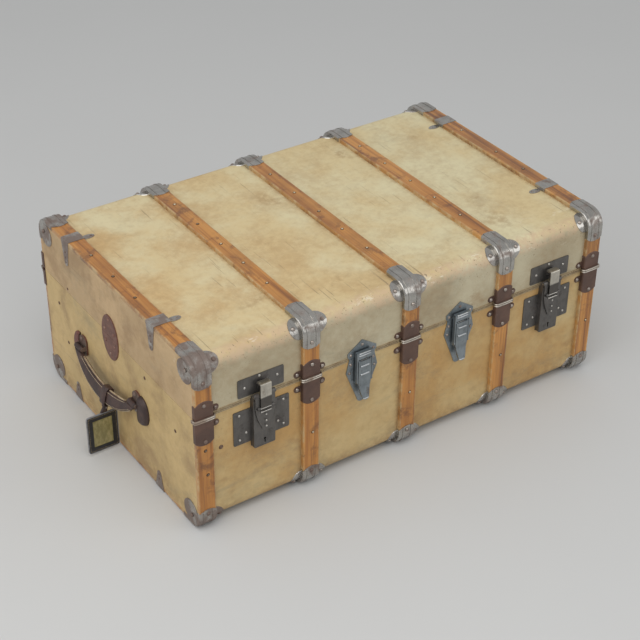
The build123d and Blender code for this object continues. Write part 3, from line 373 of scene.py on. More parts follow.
stripe_pitch = 0.024
lining_pale = (0.66, 0.58, 0.43)
lining_stripe = (0.52, 0.38, 0.27)
lining_thread = (0.38, 0.30, 0.20)
lining_stain = (0.45, 0.33, 0.19)
lining = Finish("lining_cloth", Roughness=0.85)
end_wall = abs(lining.x).rise(end - 0.0125, end - 0.0115)
stripes = (lining.x * (1 - end_wall) + lining.y * end_wall).wave(stripe_pitch)
threads = lining.noise(1.0, 2, 0.5, lining.stretched((1500, 1500, 260)))
lining_tone = lining.blend(stripes.rise(0.55, 0.75), lining_pale, lining_stripe)
lining_tone = lining.blend(threads.rise(0.4, 0.7) * 0.25, lining_tone, lining_thread)
lining_tone = lining.blend(lining.noise(7, 4, 0.6).rise(0.5, 0.75) * 0.35, lining_tone, lining_stain)
lining.relief(threads, 0.0002)
lining_finish = lining.wear(Base_Color=lining_tone)
for node in ("base_lining", "lid_lining", "base_lip"):
    cover(node, lining_finish)

# The slats
# Straight strips of ash, bent nowhere, stained orange-brown and varnished. The varnish has
# gone dark round the nails and pale where the edges are rubbed, and open grain runs lengthways.
# The same pale is painted over the slats' side faces: a painted highlight of their lit sides.
stain_mid = (0.38, 0.140, 0.018)
stain_light = (0.60, 0.270, 0.052)
stain_dark = (0.12, 0.042, 0.010)
grime_brown = (0.11, 0.036, 0.010)
# Bare ash at chips and rubbed edges, and also the painted highlight on the slats' side faces.
bare_and_lit_ash = (0.56, 0.42, 0.22)
# Keeps the slats' numbers positive, with each slat in the middle of its own strip of X.
strip_shift = 50.5


def ash(name, along):
    """Varnished ash with its grain along the axis named by along, 1 for Y and 2 for Z."""
    wood = Finish(name, Roughness=0.35, Coat_Weight=0.5, Coat_Roughness=0.16)
    stretch = [95.0, 95.0, 95.0]
    stretch[along] = 2.6
    strip = wood.x / slat_pitch + strip_shift
    strip_number = {"W": strip.math("FLOOR", strip)}
    strip_tone = wood.node("ShaderNodeTexWhiteNoise", {"noise_dimensions": "1D"}, strip_number)
    slow = wood.noise(9, 3, 0.5)
    rings = wood.noise(1.0, 3, 0.6, wood.stretched(stretch), bend=0.35)
    fine = [520.0, 520.0, 520.0]
    fine[along] = 9.0
    pores = wood.noise(1.0, 2, 0.5, wood.stretched(fine))
    tone = wood.blend(rings.rise(0.34, 0.62), stain_light, stain_mid)
    tone = wood.blend(rings.rise(0.58, 0.70) * 0.8, tone, stain_dark)
    tone = wood.blend(pores.rise(0.56, 0.7) * 0.5, tone, stain_dark)
    tone = wood.blend(strip_tone * 0.3, tone, stain_mid)
    tone = wood.blend(slow.rise(0.42, 0.75) * 0.45, tone, stain_dark)
    off_middle = slat_distance(wood)
    # Pale over the slats' side faces and along their edges: painted highlight on the side faces, rubbed wear at
    # the edges.
    lit_sides_and_worn_edges = off_middle.rise(0.0135, 0.0165) * (0.25 + wood.noise(35, 4, 0.7).rise(0.42, 0.62) * 0.75)
    chips = wood.noise(60, 5, 0.8, wood.stretched((1, 0.4, 0.4))).rise(0.66, 0.7)
    tone = wood.blend((lit_sides_and_worn_edges * 0.75 + chips * 0.6).lowest(1.0), tone, bare_and_lit_ash)
    grime = wood.noise(22, 6, 0.7, bend=0.4).rise(0.51, 0.66)
    tone = wood.blend(grime * 0.65, tone, grime_brown)
    wood.relief(rings * 0.5 - pores * 0.35 - chips * 0.4, 0.0006)
    return wood.wear(Base_Color=tone, Roughness=0.3 + slow * 0.2 + lit_sides_and_worn_edges * 0.25)


ash_lengthways = ash("ash_across_lid", 1)
ash_upright = ash("ash_upright", 2)
for node in ("lid_top_slats", "base_bottom_slats"):
    cover(node, ash_lengthways)
for node in ("lid_front_slats", "lid_back_slats", "base_front_slats", "base_back_slats"):
    cover(node, ash_upright)

# The nails
# Round-headed steel nails hold the slats to the box through the plywood; their heads have
# dulled to brown with a bright crown. A few odd tacks sit in the hide near the left end.
slat_high = 0.008
slat_places = (-end + slat_half, -slat_pitch, 0.0, slat_pitch, end - slat_half)
slat_top = top + slat_high
slat_face = front - slat_high
nail_radius = 0.0034
nail_high = 0.0021
crown_share = 0.72
nail_ring_high = 0.0006
middle_row = (0.182, 0.095, 0.010, -0.068, -0.148)
nail_rows = ((0.104, 0.020, -0.062), middle_row, middle_row, middle_row, (0.124, 0.011, -0.074))
front_nail_off = 0.003
low_nail = 0.124
mid_nail = 0.178
# Turns a copy's first width away from its height, whichever way the height points.
askew = (0.11, 0.07, 0.03)


def attach(piece, body):
    """Fixes a new piece to a body."""
    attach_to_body(piece, body)


def full_turn(count):
    """Angles of count points evenly round a circle."""
    return np.linspace(0, 2 * math.pi, count, endpoint=False)


def globe(rings, around, lower):
    """Unit dome: a half ball over a half ball flattened to lower times its height, with poles closed."""
    tilt = np.linspace(0, math.pi, rings + 1)[1:-1, None]
    turn = full_turn(around)[None, :]
    height = np.cos(tilt) * np.where(np.cos(tilt) > 0, 1.0, lower)
    body = np.stack((np.sin(tilt) * np.cos(turn), np.sin(tilt) * np.sin(turn), height + 0 * turn), axis=-1)
    points = np.vstack(((0, 0, 1.0), body.reshape(-1, 3), (0, 0, -lower)))
    low, after = np.arange(around), (np.arange(around) + 1) % around
    bands = [np.stack((1 + k * around + low, 1 + (k + 1) * around + low, 1 + (k + 1) * around + after,
                       1 + k * around + after), axis=1) for k in range(rings - 2)]
    last = 1 + (rings - 2) * around
    bands.append(np.stack((0 * low, 1 + low, 1 + after), axis=1))
    bands.append(np.stack((last + low, 0 * low + len(points) - 1, last + after), axis=1))
    return points, bands


def scatter(name, unit, places, outs, sizes, finish, body, along=None):
    """Copies of a unit shape at places, its height along outs, scaled by sizes (two widths, height)."""
    points, bands = unit
    each = np.ones((len(places), 1))
    places, outs = np.array(places, float), np.array(outs, float) * each
    outs /= np.linalg.norm(outs, axis=1, keepdims=True)
    first = outs[:, (1, 2, 0)] + askew if along is None else np.array(along, float) * each
    first -= outs * np.sum(first * outs, axis=1, keepdims=True)
    first /= np.linalg.norm(first, axis=1, keepdims=True)
    second = np.cross(outs, first)
    axes = enumerate(zip((first, second, outs), sizes))
    spread = sum(points[None, :, k:k + 1] * axis[:, None] * size for k, (axis, size) in axes)
    everything = (places[:, None] + spread).reshape(-1, 3)
    starts = (np.arange(len(places)) * len(points))[:, None, None]
    faces = [face for band in bands for face in (band[None] + starts).reshape(-1, band.shape[1]).tolist()]
    attach(surface(name, everything, faces, finish), body)


def steel(name, colour, rust_colour, rust_from, rust_to, shine=0.32, metal=1.0, dark_below=None):
    """Worn steel: brushed, dented, with brown patches where its plating has gone."""
    plate = Finish(name, Metallic=metal)
    pits = plate.noise(300, 4, 0.7)
    dents = plate.noise(45, 4, 0.6)
    brush = plate.noise(1.0, 2, 0.5, plate.stretched((900, 60, 60), (0.3, 0.5, 0.2)))
    left_end = plate.x.rise(-0.36, -0.42) * 0.15
    low_down = plate.z.rise(0.07, 0.02) * 0.03
    rust = (plate.noise(38, 6, 0.62, bend=0.3) + left_end + low_down).rise(rust_from, rust_to)
    dulling = brush.rise(0.3, 0.7) * 0.2 + dents.rise(0.36, 0.70) * 0.35
    tone = plate.blend(dulling, colour, shade(colour, 0.4))
    tone = plate.blend(rust * 0.85, tone, rust_colour)
    tone = plate.blend(pits.rise(0.62, 0.72) * 0.5, tone, shade(rust_colour, 0.4))
    if dark_below is not None:
        unrubbed = (plate.z + dents * 0.003).rise(dark_below + 0.003, dark_below)
        tone = plate.blend(unrubbed, tone, (0.12, 0.11, 0.10))
    plate.relief(dents * 0.7 + pits * 0.08 + rust * 0.08, 0.0008)
    rough = shine + brush * 0.14 + rust * 0.34
    return plate.wear(Base_Color=tone, Roughness=rough, Metallic=(1 - rust * 0.85) * metal)


dome = globe(8, 12, 0.3)


def rivets(name, places, outs, radius, high, finish, body):
    """Round heads of one size, pointing along outs."""
    scatter(name, dome, places, outs, (radius, radius, high), finish, body)


nail_finish = steel("nail_steel", (0.66, 0.56, 0.40), (0.09, 0.045, 0.022), 0.52, 0.66, 0.24)
nail_ring = steel("nail_ring", (0.05, 0.026, 0.014), (0.03, 0.015, 0.008), 0.4, 0.6, 0.6, 0.1)
top_nails = [(x, y, slat_top) for x, row in zip(slat_places, nail_rows) for y in row]
front_nails = [(x + front_nail_off, slat_face, low_nail) for x in slat_places]
front_nails.append((slat_places[0], slat_face, mid_nail))
back_nails = [(x, -slat_face, z) for x in slat_places for z in (low_nail, mid_nail)]
nail_groups = (("top_nails", top_nails, (0, 0, 1), "lid"), ("front_nails", front_nails, (0, -1, 0), "base"),
               ("back_nails", back_nails, (0, 1, 0), "base"))
for nail_name, nails, out, body in nail_groups:
    rivets(f"{nail_name}_rings", nails, out, nail_radius, nail_ring_high, nail_ring, body)
    rivets(nail_name, nails, out, crown_share * nail_radius, nail_high, nail_finish, body)

tack_finish = steel("brown_tack", (0.26, 0.17, 0.12), (0.10, 0.05, 0.03), 0.5, 0.66, 0.35, 0.6)
end_tacks = ((-end, -0.112, 0.229), (-end, -0.217, 0.180), (-end, 0.232, 0.197), (-end, 0.205, 0.120))
front_tack = ((-0.398, front, 0.166),)
lid_tacks = ((-end, 0.186, 0.254), (-end, 0.03, 0.262))
# Each group of tacks: its name, places, direction, radius, height and body.
tack_groups = (("end_tacks", end_tacks, (-1, 0, 0), 0.0036, 0.0012, "base"),
               ("front_tack", front_tack, (0, -1, 0), 0.0046, 0.0014, "base"),
               ("lid_tacks", lid_tacks, (-1, 0, 0), 0.0028, 0.001, "lid"))
for tack_name, tacks, out, radius, high, body in tack_groups:
    rivets(tack_name, tacks, out, radius, high, tack_finish, body)

# The corner caps and the clips
# Pressed steel saddles, nickel plated, folded over the slats' bends and nailed through round
# ears; narrower clips of the same steel strap the end slats down and end in a tongue.
edge_radius = 0.022
cap_sheet = 0.0012
ear_rivet_off = 0.030
side_rivet_in = 0.006
cap_rivet_drops = {"lid": 0.014, "base": 0.006}
rivet_radius = 0.0042
rivet_high = 0.0030
nickel = steel("worn_nickel", (0.53, 0.51, 0.475), (0.15, 0.098, 0.075), 0.475, 0.70, 0.12)
rivet_steel = steel("rivet_steel", (0.48, 0.42, 0.37), (0.13, 0.075, 0.055), 0.48, 0.64, 0.24)
for half in ("lid", "base"):
    for piece in ("front_caps", "back_caps", "clips"):
        cover(f"{half}_{piece}", nickel)

corner = (edge_radius + cap_sheet) / math.sqrt(2)
for half, height, up in (("lid", top - edge_radius, 1), ("base", bottom + edge_radius, -1)):
    places, outs = [], []
    for way in (-1, 1):
        y = way * (back - edge_radius + corner)
        for x in slat_places:
            for ear_x in (x - ear_rivet_off, x + ear_rivet_off):
                if abs(ear_x) < end:
                    places.append((ear_x, y, height + up * corner))
                    outs.append((0, way, up))
            places.append((x, way * (back + slat_high + cap_sheet), height - up * cap_rivet_drops[half]))
            outs.append((0, way, 0))
        for side in (-1, 1):
            side_y = way * (back - edge_radius + side_rivet_in)
            places.append((side * (end + 2 * cap_sheet), side_y, height + up * side_rivet_in))
            outs.append((side, 0, 0))
    rivets(f"{half}_cap_rivets", places, outs, rivet_radius, rivet_high, rivet_steel, half)

clip_rivet = 0.0022
clip_rivet_high = 0.0013
clip_half = 0.014
clip_out = 0.0011
strap_rivet_x = end - 2 * slat_half - 0.019
strap_out = 0.001
tongue_steps = {"lid": (0.007, 0.018, 0.030), "base": (0.007, 0.018)}
clip_low, clip_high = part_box("lid_clips")
clip_spots = [(side, y) for side in (-1, 1) for y in (clip_low.y + clip_half, clip_high.y - clip_half)]
for half, tip, face_z, up in (("lid", clip_low.z, top, 1), ("base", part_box("base_clips")[1].z, bottom, -1)):
    steps = tongue_steps[half]
    places = [(side * (end + clip_out), y, tip + up * step) for side, y in clip_spots for step in steps]
    outs = [(side, 0, 0) for side, y in clip_spots for step in steps]
    places += [(side * strap_rivet_x, y, face_z + up * strap_out) for side, y in clip_spots]
    outs += [(0, 0, up)] * len(clip_spots)
    rivets(f"{half}_clip_rivets", places, outs, clip_rivet, clip_rivet_high, rivet_steel, half)

# The clamps, hinge leaves and dowel plates
# The slats end at the seam in pressed steel shoes finished in brown lacquer, with a bright
# rubbed flange along the seam. The same lacquer covers the hinges; the oval end plates are redder.
lacquer = Finish("brown_lacquer", Metallic=0.35)
chip_map = lacquer.noise(70, 6, 0.75)
seam_rub = abs(lacquer.z - seam).rise(0.0042, 0.0030) * lacquer.y.rise(front - 0.0095, front - 0.0105) * 0.25
lacquer_mottle = lacquer.noise(30, 5, 0.6).rise(0.35, 0.7)
lacquer_tone = lacquer.blend(lacquer_mottle, (0.105, 0.062, 0.048), (0.15, 0.085, 0.062))
lacquer_tone = lacquer.blend(chip_map.rise(0.64, 0.7) * 0.7, lacquer_tone, (0.32, 0.24, 0.18))
lacquer_tone = lacquer.blend(seam_rub, lacquer_tone, (0.74, 0.68, 0.58))
lacquer.relief(chip_map * 0.5 + lacquer.noise(260, 3, 0.6) * 0.2, 0.0006)
lacquer_rough = 0.36 + chip_map * 0.25
lacquer_metal = 0.35 + seam_rub * 0.6
lacquer_finish = lacquer.wear(Base_Color=lacquer_tone, Roughness=lacquer_rough, Metallic=lacquer_metal)
for node in ("lid_clamps", "base_clamps", "lid_hinge_leaves", "base_hinge_leaves"):
    cover(node, lacquer_finish)
pin_finish = steel("pin_steel", (0.45, 0.44, 0.42), (0.14, 0.09, 0.06), 0.58, 0.7)
cover("hinge_pins", pin_finish)
cover("latch_pins", pin_finish)

plate_red = Finish("red_brown_lacquer", Metallic=0.25)
plate_wear = plate_red.noise(55, 6, 0.75)
plate_tone = plate_red.blend(plate_wear.rise(0.35, 0.65), (0.20, 0.088, 0.06), (0.13, 0.055, 0.04))
plate_tone = plate_red.blend(plate_wear.rise(0.63, 0.69) * 0.8, plate_tone, (0.40, 0.30, 0.22))
plate_red.relief(plate_wear, 0.0006)
plate_finish = plate_red.wear(Base_Color=plate_tone, Roughness=0.34 + plate_wear * 0.2)
cover("lid_dowel_plates", plate_finish)
cover("base_dowel_plates", plate_finish)

shoe_rivet = 0.0040
lobe_off = 0.02635
lobe_ups = {("lid", -1): 0.0112, ("base", -1): 0.021, ("lid", 1): 0.021, ("base", 1): 0.021}
shoe_ups = {("lid", -1): 0.029, ("base", -1): 0.047, ("lid", 1): 0.035, ("base", 1): 0.035}
for half, up in (("lid", 1), ("base", -1)):
    places, outs = [], []
    for way in (-1, 1):
        for x in slat_places:
            places.append((x, way * (back + (slat_high + cap_sheet)), seam + up * shoe_ups[half, way]))
            outs.append((0, way, 0))
            for lobe_x in (x - lobe_off, x + lobe_off):
                if abs(lobe_x) < end:
                    places.append((lobe_x, way * (back + cap_sheet), seam + up * lobe_ups[half, way]))
                    outs.append((0, way, 0))
    rivets(f"{half}_shoe_rivets", places, outs, shoe_rivet, rivet_high, rivet_steel, half)


def grid_faces(rows, columns, wrap=True, hoop=False):
    """Four-cornered faces of a grid; wrap joins its last column to the first, and hoop its last row."""
    steps = np.arange(rows if hoop else rows - 1), np.arange(columns if wrap else columns - 1)
    k, m = np.meshgrid(*steps, indexing="ij")
    on, after = (k + 1) % rows, (m + 1) % columns
    corners = (k * columns + m, k * columns + after, on * columns + after, on * columns + m)
    return np.stack(corners, axis=-1).reshape(-1, 4).tolist()


def skin_faces(rows, around):
    """Faces of a closed skin of rows rings, with a flat face over the first and the last."""
    first = list(range(around - 1, -1, -1))
    last = list(range((rows - 1) * around, rows * around))
    return grid_faces(rows, around) + [first, last]


# Lies along no bar, so that a bar's ring of points can be turned from it.
bar_askew = (0.13, 0.31, 0.94)


def tube(name, route, radius, finish, body, around=10):
    """Round bar along a straight or bent route, its ends closed by a flat face."""
    route = np.array(route, float)
    run = np.gradient(route, axis=0)
    run /= np.linalg.norm(run, axis=1, keepdims=True)
    side = np.cross(run, bar_askew)
    side /= np.linalg.norm(side, axis=1, keepdims=True)
    other = np.cross(run, side)
    turn = full_turn(around)[None, :, None]
    rings = route[:, None] + radius * (np.cos(turn) * side[:, None] + np.sin(turn) * other[:, None])
    attach(surface(name, rings.reshape(-1, 3), skin_faces(len(route), around), finish), body)


shoe_half = 0.0186
rim_radius = 0.0015
rim_off_seam = 0.0019
rim_depth = front - slat_high - 0.0031
rim_bright = steel("rubbed_rim", (0.66, 0.60, 0.52), (0.24, 0.17, 0.12), 0.56, 0.74, 0.26)
# One end of the flange round a shoe: how far past the shoe's side, and how deep.
rim_end = ((0.0022, front - 0.0005), (0.0020, rim_depth + 0.0035), (0.0008, rim_depth + 0.0008),
           (-0.0022, rim_depth - 0.0004))
rim_path = [(-shoe_half - u, v) for u, v in rim_end] + [(0.0, rim_depth - 0.0008)]
rim_path += [(shoe_half + u, v) for u, v in reversed(rim_end)]
for half, up in (("lid", 1), ("base", -1)):
    for number, x in enumerate(slat_places):
        route = [(x + u, v, seam + up * rim_off_seam) for u, v in rim_path]
        tube(f"{half}_shoe_rim_{number}", route, rim_radius, rim_bright, half)

dowel_rivet = 0.0036
dowel_rivet_high = 0.0018
dowel_rivets = {"lid": ((0.0, 0.036), (-0.017, 0.012), (0.017, 0.010)),
                "base": ((0.0, -0.038), (-0.018, -0.014), (0.017, -0.016))}
dowel_steel = steel("dowel_rivet_steel", (0.42, 0.30, 0.25), (0.20, 0.09, 0.065), 0.5, 0.66, 0.3)
dowel_low, dowel_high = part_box("base_dowel_plates")[0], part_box("lid_dowel_plates")[1]
dowel_y = (dowel_low.y + dowel_high.y) / 2
for body, spots in dowel_rivets.items():
    places = [(side * -dowel_low.x, dowel_y + y, seam + z) for side in (-1, 1) for y, z in spots]
    outs = np.sign(places) * (1, 0, 0)
    rivets(f"{body}_dowel_rivets", places, outs, dowel_rivet, dowel_rivet_high, dowel_steel, body)

# The locks
# A steel case on a plate, with a keyhole; a forked lever swings in the case's ears and draws
# a claw over a catch on the lid. All of it is blackened, rubbed bright on the claw.
gunmetal = steel("gunmetal", (0.165, 0.155, 0.145), (0.06, 0.048, 0.042), 0.56, 0.7, 0.36, 0.8)
bright_steel = steel("rubbed_steel", (0.66, 0.63, 0.58), (0.20, 0.16, 0.12), 0.6, 0.74, 0.24)
claw_rub_up = 0.006
claw_steel = steel("rubbed_claw", (0.62, 0.58, 0.50), (0.20, 0.16, 0.12), 0.6, 0.74, 0.26,
                   dark_below=seam + claw_rub_up)
lock_rivet = 0.0026
lock_rivet_high = 0.0017
lock_lid_spots = ((-0.033, 0.027), (-0.003, 0.042), (0.033, 0.030))
lock_base_spots = ((-0.045, -0.028), (-0.045, -0.081), (0.045, -0.028), (0.045, -0.081), (-0.0315, -0.069),
                   (0.0335, -0.071))
lever_rivet = 0.0019
lever_rivet_high = 0.0011
lever_rivet_out = 0.0029
lever_spots = ((0.0, -0.032), (0.0, -0.045), (0.0, -0.057))
knuckle_radius = 0.0013
knuckle_half = 0.011
knuckle_in = 0.0008
knuckle_ups = (-0.0165, -0.0240)
bar_steps = 9


def front_rivets(name, x, y, spots, radius, high, finish, body):
    """Rivets on a plate that faces forwards, at spots measured from its middle and the seam."""
    rivets(name, [(x + u, y, seam + v) for u, v in spots], (0, -1, 0), radius, high, finish, body)


def cross_bar(name, x, half_long, y, z, radius, finish, body):
    """Straight bar along X with its middle at x."""
    xs = np.linspace(x - half_long, x + half_long, bar_steps)
    tube(name, np.stack((xs, 0 * xs + y, 0 * xs + z), axis=1), radius, finish, body)


for side in ("left", "right"):
    for piece in ("plate", "case", "catch", "lever"):
        cover(f"{side}_lock_{piece}", gunmetal)
    cover(f"{side}_lock_claw", claw_steel)
    low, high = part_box(f"{side}_lock_plate")
    x = (low.x + high.x) / 2
    for body, spots in (("lid", lock_lid_spots), ("base", lock_base_spots)):
        front_rivets(f"{side}_lock_{body}_rivets", x, low.y, spots, lock_rivet, lock_rivet_high, bright_steel,
                     body)
    lever = f"{side}_lock_lever"
    lever_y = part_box(f"{side}_lock_case")[0].y - lever_rivet_out
    front_rivets(f"{lever}_rivets", x, lever_y, lever_spots, lever_rivet, lever_rivet_high, bright_steel, lever)
    knuckle_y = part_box(lever)[0].y + knuckle_in
    for number, up in enumerate(knuckle_ups):
        cross_bar(f"{side}_claw_knuckle_{number}", x, knuckle_half, knuckle_y, seam + up, knuckle_radius,
                  bright_steel, lever)

# The draw bolts
# Galvanised steel: a tapering plate with a thumb lever on it, and a flat-topped link with
# rolled edges that the lever draws down over a lip on the lid's house-shaped plate. Cross
# ridges stiffen the lever. The ridges, the link's top edges and the thumb lip are drawn in a
# paler zinc: a painted highlight.
zinc = steel("blue_zinc", (0.29, 0.325, 0.345), (0.10, 0.085, 0.07), 0.6, 0.76, 0.30, 0.9)
# A paler copy of the zinc for the ridges and edges: a painted highlight.
zinc_highlight = steel("rubbed_zinc", (0.62, 0.64, 0.65), (0.2, 0.18, 0.15), 0.64, 0.8, 0.26)
bolt_sheet = 0.0015
bolt_rivet = 0.0031
bolt_rivet_high = 0.002
bolt_lid_spots = ((0.0, 0.0235), (-0.0245, 0.008), (0.0245, 0.008))
bolt_base_spots = ((-0.0245, -0.012), (0.0245, -0.012), (-0.027, -0.030), (0.027, -0.030))
ridge_radius = 0.0017
ridge_half = 0.0095
ridge_out = 0.0117
ridge_ups = (-0.016, -0.034)
hook_radius = 0.0013
hook_half = 0.0125
hook_in = 0.0005
hook_drops = (0.0012, 0.0060)
lip_radius = 0.0014
lip_half = 0.0062
lip_in = 0.0012
lip_up = 0.0022
lip_bow = 14
lip_steps = 7
for side in ("left", "right"):
    for piece in ("plate", "catch", "lever", "link"):
        cover(f"{side}_bolt_{piece}", zinc)
    low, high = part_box(f"{side}_bolt_plate")
    x = (low.x + high.x) / 2
    for body, spots in (("lid", bolt_lid_spots), ("base", bolt_base_spots)):
        front_rivets(f"{side}_bolt_{body}_rivets", x, front - bolt_sheet, spots, bolt_rivet, bolt_rivet_high,
                     rivet_steel, body)
    lever, link = f"{side}_bolt_lever", f"{side}_bolt_link"
    for number, up in enumerate(ridge_ups):
        cross_bar(f"{side}_bolt_ridge_{number}", x, ridge_half, front - ridge_out, seam + up, ridge_radius,
                  zinc_highlight, lever)
    hook_low, hook_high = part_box(link)
    for number, drop in enumerate(hook_drops):
        cross_bar(f"{side}_bolt_hook_edge_{number}", x, hook_half, hook_low.y + hook_in, hook_high.z - drop,
                  hook_radius, zinc_highlight, link)
    lip_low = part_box(lever)[0]
    lip_xs = np.linspace(x - lip_half, x + lip_half, lip_steps)
    lip_zs = lip_low.z + lip_up + lip_bow * (lip_xs - x) ** 2
    route = np.stack((lip_xs, 0 * lip_xs + (lip_low.y + lip_in), lip_zs), axis=1)
    tube(f"{side}_bolt_lip_edge", route, lip_radius, zinc_highlight, lever)

# The handles
# Harness leather: a domed half-moon pad outside each steel loop, and a flat stitched grip that
# bows down in its own plane from its pins, narrow at the necks, with pale cut edges.
hide = Finish("harness_leather", Roughness=0.5)
pebble = hide.cells(620)
hide_wear = hide.noise(40, 6, 0.7)
hide_tone = hide.blend(hide_wear.rise(0.38, 0.66), (0.036, 0.020, 0.018), (0.075, 0.040, 0.032))
hide_tone = hide.blend(hide_wear.rise(0.60, 0.72) * 0.6, hide_tone, (0.20, 0.12, 0.085))
hide.relief(pebble * 0.3 + hide_wear * 0.6, 0.0007)
hide_finish = hide.wear(Base_Color=hide_tone, Roughness=0.36 + hide_wear * 0.25)

red_hide = Finish("red_leather", Roughness=0.5)
red_wear = red_hide.noise(45, 6, 0.7)
red_tone = red_hide.blend(red_wear.rise(0.38, 0.66), (0.17, 0.052, 0.035), (0.10, 0.036, 0.026))
red_hide.relief(red_hide.cells(620) * 0.3 + red_wear * 0.5, 0.0006)
red_finish = red_hide.wear(Base_Color=red_tone)

cut_edge = Finish("cut_edge", Roughness=0.7)
cut_layers = cut_edge.noise(1.0, 3, 0.6, cut_edge.stretched((300, 40, 300)))
cut_edge.relief(cut_layers, 0.0004)
cut_tone = cut_edge.blend(cut_layers.rise(0.4, 0.65), (0.46, 0.36, 0.23), (0.22, 0.15, 0.09))
cut_finish = cut_edge.wear(Base_Color=cut_tone)

thread = Finish("waxed_thread", Roughness=0.6)
thread_tone = thread.blend(thread.noise(400).rise(0.4, 0.6), (0.58, 0.48, 0.33), (0.34, 0.26, 0.17))
thread_finish = thread.wear(Base_Color=thread_tone)

bracket_finish = steel("browned_steel", (0.34, 0.29, 0.25), (0.13, 0.075, 0.055), 0.46, 0.6, 0.34)
stitch = globe(6, 8, 1.0)
stitch_size = (0.0020, 0.00055, 0.00055)
lengthways = np.array((0, 1.0, 0))

pad_half_high = 0.030
pad_long = 0.0265
pad_drop = 0.010
pad_rim = 0.002
pad_foot = 0.0002
pad_wall = 0.001
pad_round = 0.8
near_pad_rise = 0.0105
far_pad_rise = 0.0055
pad_rings = 12
pad_fan = 25
pad_stitch_rows = (0.86, 0.62)
pad_stitch_sweep = 1.45
pad_stitches = 15


def half_moon(name, pin_z, flat_y, way, out, rise, finish, stitched):
    """Domed pad: a half ellipse whose height falls from the middle to a rounded rim, on the end face."""

    def pad_points(share, swing):
        """Points at a share of the pad's radius, turned by swing from its middle line."""
        high = pad_rim + (rise - pad_rim) * (1 - share ** 4) ** 0.5 + 0 * swing
        y = flat_y + way * pad_long * share * np.cos(swing) ** pad_round
        z = pin_z - pad_drop + pad_half_high * share * np.sin(swing)
        return np.stack((out * end + out * high, y, z), axis=-1)

    quarter = math.pi / 2
    face = pad_points(np.linspace(0, 1, pad_rings)[:, None], np.linspace(-quarter, quarter, pad_fan)[None, :])
    foot = face[-1].copy()
    foot[:, 0] = out * end + out * pad_foot
    points = np.vstack((face.reshape(-1, 3), foot))
    faces = grid_faces(pad_rings + 1, pad_fan, wrap=False)
    if out * way < 0:
        faces = [face[::-1] for face in faces]
    pad = surface(name, points, faces, finish)
    wall = pad.modifiers.new("wall", "SOLIDIFY")
    wall.thickness = pad_wall
    wall.offset = -1
    attach(pad, "base")
    if stitched:
        sweep = np.linspace(-pad_stitch_sweep, pad_stitch_sweep, pad_stitches)
        for row, share in enumerate(pad_stitch_rows):
            spots = pad_points(share, sweep)
            scatter(f"{name}_stitches_{row}", stitch, spots, (out, 0, 0), stitch_size, thread_finish, "base",
                    along=np.gradient(spots, axis=0))
    return pad


def arc_points(half, start, deep, steps):
    """Points of a circular arc from (-half, -start) through (0, -deep) to (half, -start)."""
    drop = deep - start
    radius = (half * half + drop * drop) / (2 * drop)
    reach = math.asin(half / radius)
    turn = np.linspace(-reach, reach, steps)
    return np.stack((radius * np.sin(turn), -deep + radius * (1 - np.cos(turn))), axis=1)


def pillow(count, square):
    """Cosine and sine of a rounded box outline: a power below 1 pushes the circle out to its corners."""
    wide, deep = np.cos(full_turn(count)), np.sin(full_turn(count))
    return np.sign(wide) * np.abs(wide) ** square, np.sign(deep) * np.abs(deep) ** square


def pivot(joint_name):
    """The place of a joint's pin."""
    return next(joint["pos_m"] for joint in frame["joints"] if joint["name"] == joint_name)


grip_tilt = math.radians(15)
grip_bow = 0.050
grip_broad = 0.030
grip_half_thick = 0.006
neck_thin = 0.14
grip_crown = 0.10
grip_square = 0.42
grip_steps = 49
grip_around = 32
tab_long = 0.0228
tab_drop = 0.0045
eye_radius = 0.0055
stitch_line = 0.78
stitch_sunk = 0.935
cut_line = 0.985
cut_radius = 0.0021
sewn = slice(3, -3)
bracket_in = 0.0135
bracket_rivet_in = 0.0068
bracket_rivet_ups = (0.0175, -0.017)
backing_half_wide = 0.0128
backing_half_high = 0.0222
backing_square = 0.7
backing_around = 40
backing_faces = (0.0002, 0.0031)

